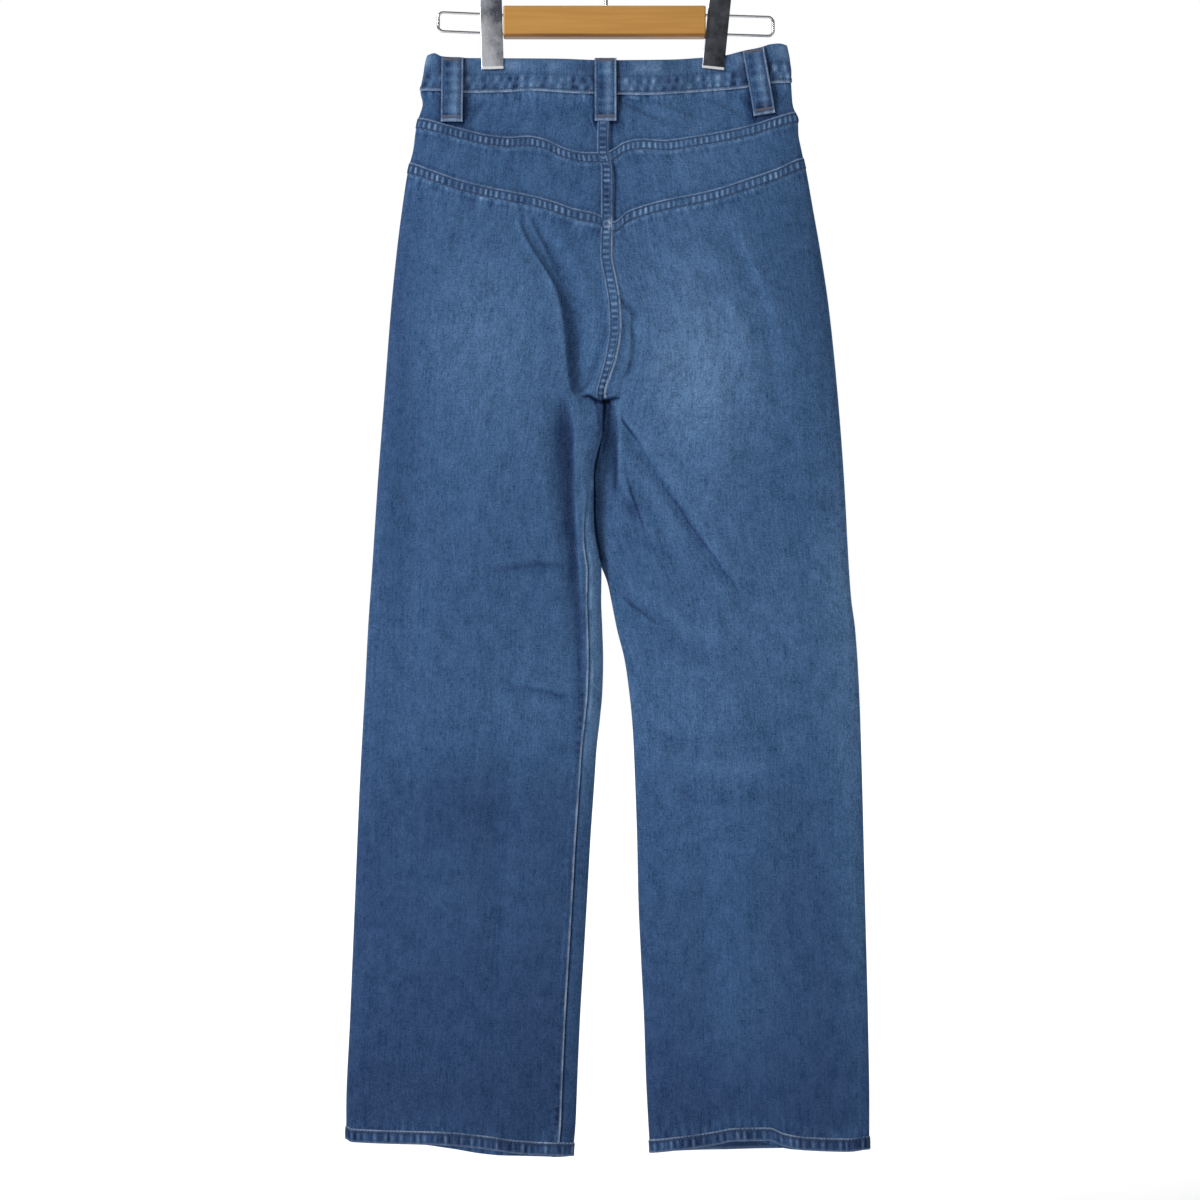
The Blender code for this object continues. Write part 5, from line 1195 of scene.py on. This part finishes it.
def denim_material():
    """Washed denim: warp and weft slubs, mottling, and worn, painted-shade and puckered places by mesh
    attributes.
    """
    material, tree, shader = new_material("denim")
    cloth = node(tree, "ShaderNodeUVMap", uv_map="cloth").outputs["UV"]
    fade, wear_and_shade, pucker, pale = (attribute(tree, key) for key in ("fade", "wear_and_shade", "pucker", "pale"))
    warp = noise(tree, cloth, 700.0, 2.0, 0.6, (1.0, 0.28, 1.0))
    weft = noise(tree, cloth, 700.0, 2.0, 0.6, (0.2, 1.0, 1.0))
    speck = noise(tree, cloth, 640.0, 2.0, 0.7)
    slub = noise(tree, cloth, 420.0, 2.0, 0.6, (1.0, 0.06, 1.0))
    patch = noise(tree, cloth, 240.0, 2.0, 0.5, (1.0, 0.5, 1.0))
    mottle = noise(tree, cloth, 80.0, 2.0, 0.6, (1.0, 0.6, 1.0))
    cloud = noise(tree, cloth, 9.0, 2.0, 0.5, (1.0, 0.6, 1.0))
    stripes = noise(tree, cloth, 230.0, 2.0, 0.5, (1.0, 0.2, 1.0))
    level = math_node(tree, "MULTIPLY_ADD", wear_and_shade, 0.6, fade)
    level = add_part(tree, level, cloud, 0.5, 0.16)
    striped = math_node(tree, "MULTIPLY", math_node(tree, "SUBTRACT", stripes, 0.46), pucker)
    level = math_node(tree, "MULTIPLY_ADD", striped, 1.6, level)
    stops = (
        (0.0, (30, 48, 79)), (0.16, (43, 66, 102)), (0.32, (56, 85, 122)), (0.48, (69, 99, 136)),
        (0.64, (86, 117, 153)), (0.80, (105, 136, 169)), (1.0, (150, 171, 192)),
    )
    dyed = colour_ramp(tree, math_node(tree, "MULTIPLY", level, 0.8), stops)
    amounts = ((speck, 1.6), (warp, 1.1), (slub, 0.6), (weft, 0.5), (patch, 0.4), (mottle, 0.75))
    grain = 0.0
    for source, amount in amounts:
        grain = add_part(tree, grain, source, 0.5, amount)
    grain = math_node(tree, "MULTIPLY_ADD", grain, math_node(tree, "MULTIPLY_ADD", fade, 0.6, 0.5), 1.0)
    paler = node(tree, "ShaderNodeMix", data_type="RGBA")
    tree.links.new(math_node(tree, "MULTIPLY", pale, math_node(tree, "ADD", patch, 0.5)), paler.inputs[0])
    tree.links.new(dyed, paler.inputs[6])
    paler.inputs[7].default_value = srgb(160, 176, 196)
    colour = paler.outputs[2]
    deep = math_node(tree, "MINIMUM", math_node(tree, "MULTIPLY_ADD", level, 1.25, 1.0), 1.0)
    grain = math_node(tree, "MULTIPLY", grain, math_node(tree, "MAXIMUM", deep, 0.12))
    grain = math_node(tree, "MAXIMUM", grain, 0.1)
    # The grain scales the light above -0.03, so that it shows in the darkest places too.
    for operation, value in (("ADD", 0.03), ("SCALE", grain), ("ADD", -0.03)):
        made = node(tree, "ShaderNodeVectorMath", operation=operation)
        tree.links.new(colour, made.inputs[0])
        if operation == "SCALE":
            tree.links.new(value, made.inputs["Scale"])
        else:
            made.inputs[1].default_value = (value,) * 3
        colour = made.outputs[0]
    tree.links.new(colour, shader.inputs["Base Color"])
    height = math_node(tree, "MULTIPLY_ADD", warp, 0.5, math_node(tree, "MULTIPLY", weft, 0.4))
    height = math_node(tree, "MULTIPLY_ADD", speck, 0.35, height)
    height = math_node(tree, "MULTIPLY_ADD", striped, 2.6, height)
    bump = node(tree, "ShaderNodeBump")
    set_inputs(bump, {"Strength": 0.45, "Distance": 0.0006})
    tree.links.new(height, bump.inputs["Height"])
    tree.links.new(bump.outputs["Normal"], shader.inputs["Normal"])
    set_inputs(shader, {"Roughness": 0.92, "Specular IOR Level": 0.1})
    set_inputs(shader, {"Sheen Weight": 0.02, "Sheen Roughness": 0.5})
    return material


def plain_material(name, colour, roughness, metallic=0.0, specular=0.5):
    """A material of one colour."""
    material, _tree, shader = new_material(name)
    set_inputs(shader, {"Base Color": colour, "Roughness": roughness})
    set_inputs(shader, {"Metallic": metallic, "Specular IOR Level": specular})
    return material


def wood_material():
    """Varnished wood with a long fine grain along X, with painted shade on its lowest millimetres."""
    material, tree, shader = new_material("wood")
    place = node(tree, "ShaderNodeTexCoord").outputs["Object"]
    grain = noise(tree, place, 260.0, 4.0, 0.6, (0.04, 1.0, 1.0))
    broad = noise(tree, place, 40.0, 2.0, 0.5, (0.1, 1.0, 1.0))
    level = math_node(tree, "MULTIPLY_ADD", grain, 0.55, math_node(tree, "MULTIPLY", broad, 0.45))
    parts = node(tree, "ShaderNodeSeparateXYZ")
    tree.links.new(place, parts.inputs[0])
    # Painted shade on the bar's underside: the level falls by up to 0.42 towards its bottom.
    low = node(tree, "ShaderNodeMapRange")
    set_inputs(low, {"From Min": (BAR_TOP_Z - 29.6) * MM, "From Max": (BAR_TOP_Z - 28.6) * MM})
    set_inputs(low, {"To Min": -0.42, "To Max": 0.0})
    tree.links.new(parts.outputs["Z"], low.inputs["Value"])
    level = math_node(tree, "ADD", level, low.outputs[0])
    colour = colour_ramp(tree, level, ((0.0, (110, 72, 35)), (0.3, (168, 118, 54)), (0.72, (194, 146, 75))))
    tree.links.new(colour, shader.inputs["Base Color"])
    set_inputs(shader, {"Roughness": 0.42})
    return material


def chrome_material(side, dark, light, across, down):
    """Polished sheet metal with a painted reflection in its colour, running from light to dark across and
    down the clip.
    """
    material, tree, shader = new_material(f"clip {side}")
    place = node(tree, "ShaderNodeTexCoord").outputs["Object"]
    parts = node(tree, "ShaderNodeSeparateXYZ")
    tree.links.new(place, parts.inputs[0])
    cloud = noise(tree, place, 70.0, 3.0, 0.6)
    scratch = noise(tree, place, 700.0, 3.0, 0.7, (1.0, 1.0, 0.4))
    level = add_part(tree, 0.5, parts.outputs["X"], CLIPS[side]["x"] * MM, across)
    level = add_part(tree, level, parts.outputs["Z"], (WAIST_Z + 34.0) * MM, down)
    level = add_part(tree, level, cloud, 0.5, 1.6)
    level = add_part(tree, level, scratch, 0.5, 0.8)
    tree.links.new(colour_ramp(tree, level, ((0.0, dark), (1.0, light))), shader.inputs["Base Color"])
    set_inputs(shader, {"Metallic": 0.7, "Roughness": 0.3})
    return material


# Hanger


def wire(name, points, radius, material):
    """A round wire through points, with closed ends."""
    curve = bpy.data.curves.new(f"{name}_wire", "CURVE")
    curve.dimensions = "3D"
    curve.bevel_depth = radius * MM
    curve.bevel_resolution = 5
    curve.use_fill_caps = True
    spline = curve.splines.new("POLY")
    spline.points.add(len(points) - 1)
    for knot, (x, y, z) in zip(spline.points, points):
        knot.co = (x * MM, y * MM, z * MM, 1.0)
    spline.use_smooth = True
    obj = bpy.data.objects.new(f"{name}_wire", curve)
    bpy.context.scene.collection.objects.link(obj)
    obj.data.materials.append(material)
    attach(obj, "root")
    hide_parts(name)
    return obj


def arc(centre_x, centre_z, radius, start, end, count):
    """Points of an arc in the XZ plane, its angles in degrees from +X towards +Z."""
    angles = [math.radians(start + (end - start) * i / (count - 1)) for i in range(count)]
    return [(centre_x + radius * math.cos(a), 0.0, centre_z + radius * math.sin(a)) for a in angles]


def hanger_hook(material):
    """A straight foot, a bend into a leaning line that touches the crown, and the crown's open circle."""
    radius, lean, bend = 21.75, 28.0, 40.0
    turn = math.radians(lean)
    crown = arc(0.0, -20.0, radius, -lean, 196.0, 48)
    start_x, _y, start_z = crown[0]
    neck_x = bend * (1.0 - math.cos(turn))
    lean_length = (start_x - neck_x) / math.sin(turn)
    foot_z = start_z - lean_length * math.cos(turn) - bend * math.sin(turn)
    neck = arc(bend, foot_z, bend, 180.0, 180.0 - lean, 10)
    return wire("hanger_hook", [(0.0, 0.0, BAR_TOP_Z - 1.0)] + neck + crown, 1.75, material)


def hanger_rail(side, material):
    """A U of wire out of the bar's end, with round corners: a little up on the left, down on the right."""
    way, end, slope = (-1.0, -161.0, 0.045) if side == LEFT else (1.0, 160.5, -0.03)
    start, corner = BAR_X + way * (BAR_LONG / 2 - 0.2), 5.0
    high, low = WAIST_Z + 43.2, WAIST_Z + 25.0
    bend = arc(0.0, high - corner, corner, 90.0, 0.0, 12) + arc(0.0, low + corner, corner, 0.0, -90.0, 12)
    bend = [(end - way * corner + way * x, 0.0, z) for x, _y, z in bend]
    points = [(start, 0.0, high)] + bend + [(start, 0.0, low)]
    points = [(x, y, z + slope * abs(x - start)) for x, y, z in points]
    return wire(f"hanger_rail_{side}", points, 1.45, material)


def hanger_bar(material):
    """A bar with rounded edges, its grain along X."""
    mesh = bpy.data.meshes.new("hanger_bar_wood")
    block = bmesh.new()
    bmesh.ops.create_cube(block, size=1.0)
    for corner in block.verts:
        corner.co = (
            (corner.co.x * BAR_LONG + BAR_X) * MM,
            corner.co.y * BAR_DEEP * MM,
            (corner.co.z * BAR_HIGH + BAR_TOP_Z - 17.0) * MM,
        )
    block.to_mesh(mesh)
    block.free()
    obj = bpy.data.objects.new("hanger_bar_wood", mesh)
    bpy.context.scene.collection.objects.link(obj)
    obj.data.materials.append(material)
    bevel = obj.modifiers.new("rounded edges", "BEVEL")
    bevel.width = 1.6 * MM
    bevel.segments = 4
    mesh.shade_smooth()
    obj.modifiers.new("flat faces", "WEIGHTED_NORMAL")
    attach(obj, "root")
    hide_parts("hanger_bar")
    return obj


def hanger_clip(side, material, lip_highlight_material):
    """A folded strip of sheet metal over the rails, its two jaws ending in a lip that turns out."""
    hug, jaw, thickness = 1.8, GRIP_HALF + 1.35, 1.2
    tip, flare_low, flare_high, top = -9.8, 7.5, 22.0, 80.0
    bend = [math.radians(10.0 * i) for i in range(1, 18)]

    def side_path(off):
        """The strip's side view, y and z: up one jaw, over the crown and down the other."""
        straight = [
            (jaw + 0.9 + off, tip), (jaw + 0.15 + off, tip + 2.6), (jaw + off, tip + 4.0),
            (jaw + off, flare_low), (hug + off, flare_high), (hug + off, top),
        ]
        crown = [((hug + off) * math.cos(a), top + (hug + off) * math.sin(a)) for a in bend]
        return np.array(straight + crown + [(-y, z) for y, z in reversed(straight)])

    outside, inside = side_path(thickness), side_path(0.0)
    middle, count = (outside + inside) / 2, len(outside)
    layers = []
    for layer in (outside, inside):
        rows = []
        for x, thinner in ((-10.5, 0.35), (-10.1, 0.0), (10.1, 0.0), (10.5, 0.35)):
            path = layer + (middle - layer) * thinner
            rows.append(np.stack([np.full(count, x), path[:, 0], path[:, 1]], axis=-1))
        layers.append(np.stack(rows))
    section = np.concatenate([layers[0], layers[1][::-1]])
    lean = math.radians(CLIPS[side]["lean"])
    points = section.copy()
    points[..., 0] = section[..., 0] * math.cos(lean) + section[..., 2] * math.sin(lean) + CLIPS[side]["x"]
    points[..., 2] = -section[..., 0] * math.sin(lean) + section[..., 2] * math.cos(lean) + WAIST_Z
    around = len(section)
    quads = grid_faces(count, around, wrap=True)
    ends = np.array([[0, 1, 6, 7], [1, 2, 5, 6], [2, 3, 4, 5]])
    faces = np.concatenate([quads, ends[:, ::-1], ends + (count - 1) * around])
    obj = mesh_piece(f"hanger_clip_{side}_metal", points.transpose(1, 0, 2), faces, material, smooth=False)
    obj.data.materials.append(lip_highlight_material)
    # The jaw tips take the near-white lip material: a painted highlight where the turned-out lip catches
    # the light.
    lips = np.zeros(len(faces), int)
    lips[:around] = lips[len(quads) - around : len(quads)] = 1
    obj.data.polygons.foreach_set("material_index", lips)
    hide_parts(f"hanger_clip_{side}")
    return obj


def waist_button(material):
    """A domed button turned about its own axis, with a raised rim."""
    # radius, height
    profile = (
        (0.0, 4.2), (3.0, 4.15), (5.4, 3.9), (6.6, 3.7), (7.3, 4.0), (8.1, 3.8), (8.5, 3.0), (8.4, 2.2),
        (4.0, 1.7), (4.0, 0.0),
    )
    turns = 40
    x = float(curve_through(INSIDE, 10.0, 1)) + 0.5
    surface, normal = cloth_at(FRONT, np.array([x]), np.array([24.0]))
    out = normal[0]
    side = unit(np.cross(out, [0.0, 0.0, 1.0]))
    up = np.cross(side, out)
    angles = np.linspace(0.0, 2 * math.pi, turns, endpoint=False)
    origin = surface[0] + out * (LAP_RISE + BAND_OUT + 0.4)
    about = np.cos(angles)[:, None] * side + np.sin(angles)[:, None] * up
    rows = np.array([origin + out * height + radius * about for radius, height in profile])
    obj = mesh_piece("waist_button_metal", rows, grid_faces(len(profile), turns, wrap=True), material)
    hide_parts("waist_button")
    return obj


# Studio


def studio():
    """White studio: an even dim surround, a soft key from the upper left, and a pale floor."""
    scene = bpy.context.scene
    scene.view_settings.view_transform = "Standard"
    world = bpy.data.worlds.new("studio")
    scene.world = world
    world.use_nodes = True
    tree = world.node_tree
    sky = tree.nodes["Background"]
    seen = node(tree, "ShaderNodeLightPath").outputs["Is Camera Ray"]
    tree.links.new(math_node(tree, "MULTIPLY_ADD", seen, 1.0 - AMBIENT, AMBIENT), sky.inputs["Strength"])
    sky.inputs["Color"].default_value = (1.0, 1.0, 1.0, 1.0)
    mesh = bpy.data.meshes.new("floor")
    side, near, far, level = 4.0, -2.6, 12.0, -1.38
    corners = [(-side, near, level), (side, near, level), (side, far, level), (-side, far, level)]
    mesh.from_pydata(corners, [], [(0, 1, 2, 3)])
    floor = bpy.data.objects.new("floor", mesh)
    scene.collection.objects.link(floor)
    mesh.materials.append(plain_material("floor", (0.97, 0.97, 0.97, 1.0), 0.9))
    aim = (0.0, 0.0, -0.70)
    for name, place, target, size, power in (
        ("key", (-2.5, -2.0, 1.10), aim, 0.9, 104.0),
        ("fill", (2.2, -2.8, -0.30), aim, 2.0, 12.0),
        ("back wash", (0.0, 7.8, 4.20), (0.0, 7.8, 0.0), 16.0, 1250.0),
    ):
        data = bpy.data.lights.new(name, "AREA")
        data.shape = "SQUARE"
        data.size = size
        data.energy = power
        lamp = bpy.data.objects.new(name, data)
        lamp.location = place
        lamp.rotation_euler = (Vector(place) - Vector(target)).to_track_quat("Z", "Y").to_euler()
        scene.collection.objects.link(lamp)
    data = bpy.data.cameras.new("camera")
    data.lens = 75.0
    data.sensor_width = 36.0
    camera = bpy.data.objects.new("camera", data)
    camera.location = [place * MM for place in CAMERA]
    camera.rotation_euler = (math.radians(90.0), 0.0, 0.0)
    scene.collection.objects.link(camera)
    scene.camera = camera


def build():
    """Every piece of the jeans and the hanger, and the studio."""
    denim = denim_material()
    thread = plain_material("thread", srgb(60, 71, 95), 0.9, specular=0.1)
    tack_thread = plain_material("tack thread", srgb(104, 102, 112), 0.9, specular=0.1)
    wood = wood_material()
    wire_metal = plain_material("wire", srgb(196, 197, 200), 0.16, 1.0)
    # Each clip's colour is a painted reflection, light on the left clip and dark on the right one.
    clip_left = chrome_material(LEFT, (92, 96, 108), (226, 229, 236), -38.0, -13.0)
    clip_right = chrome_material(RIGHT, (46, 48, 54), (112, 115, 122), -18.0, 3.0)
    # Near-white, a painted highlight on the clips' turned-out lips.
    lip = plain_material("lip", srgb(244, 245, 247), 0.3, 0.4)
    brass = plain_material("button metal", srgb(170, 150, 120), 0.3, 1.0)
    threads, tacks = [], []
    for side in (LEFT, RIGHT):
        back_panel(side, denim)
        front_panel(side, denim)
        yoke(f"yoke_upper_{side}", side, BAND_SEAM, UPPER_SEAM, 3.0, denim)
        yoke(f"yoke_lower_{side}", side, UPPER_SEAM, LOWER_SEAM, 0.0, denim)
        seed = SEAM_SEED[side]
        yoke_strip(f"seam_upper_{side}", side, UPPER_SEAM, seed, 5.1, denim, threads)
        yoke_strip(f"seam_lower_{side}", side, LOWER_SEAM, seed + 2.4, 5.9, denim, threads)
        hem_ring(f"hem_{side}", side, seed + 4.1, denim, threads)
        hanger_rail(side, wire_metal)
    centre_strip("seam_centre", 36.0, CROTCH + 3.6, 8.3, denim, threads)
    waistband(denim, threads)
    for number, (name, (face, top, foot)) in enumerate(LOOPS.items()):
        belt_loop(name, face, top, foot, 1.0 + 1.9 * number, denim, threads, tacks)
    fly_flap(denim, threads)
    stitch_mesh("stitches", threads, thread)
    stitch_mesh("bar_tacks", tacks, tack_thread, length=0.75, gap=0.12, width=1.5, height=0.5)
    waist_button(brass)
    hanger_hook(wire_metal)
    hanger_bar(wood)
    hanger_clip(LEFT, clip_left, lip)
    hanger_clip(RIGHT, clip_right, lip)
    studio()


build()
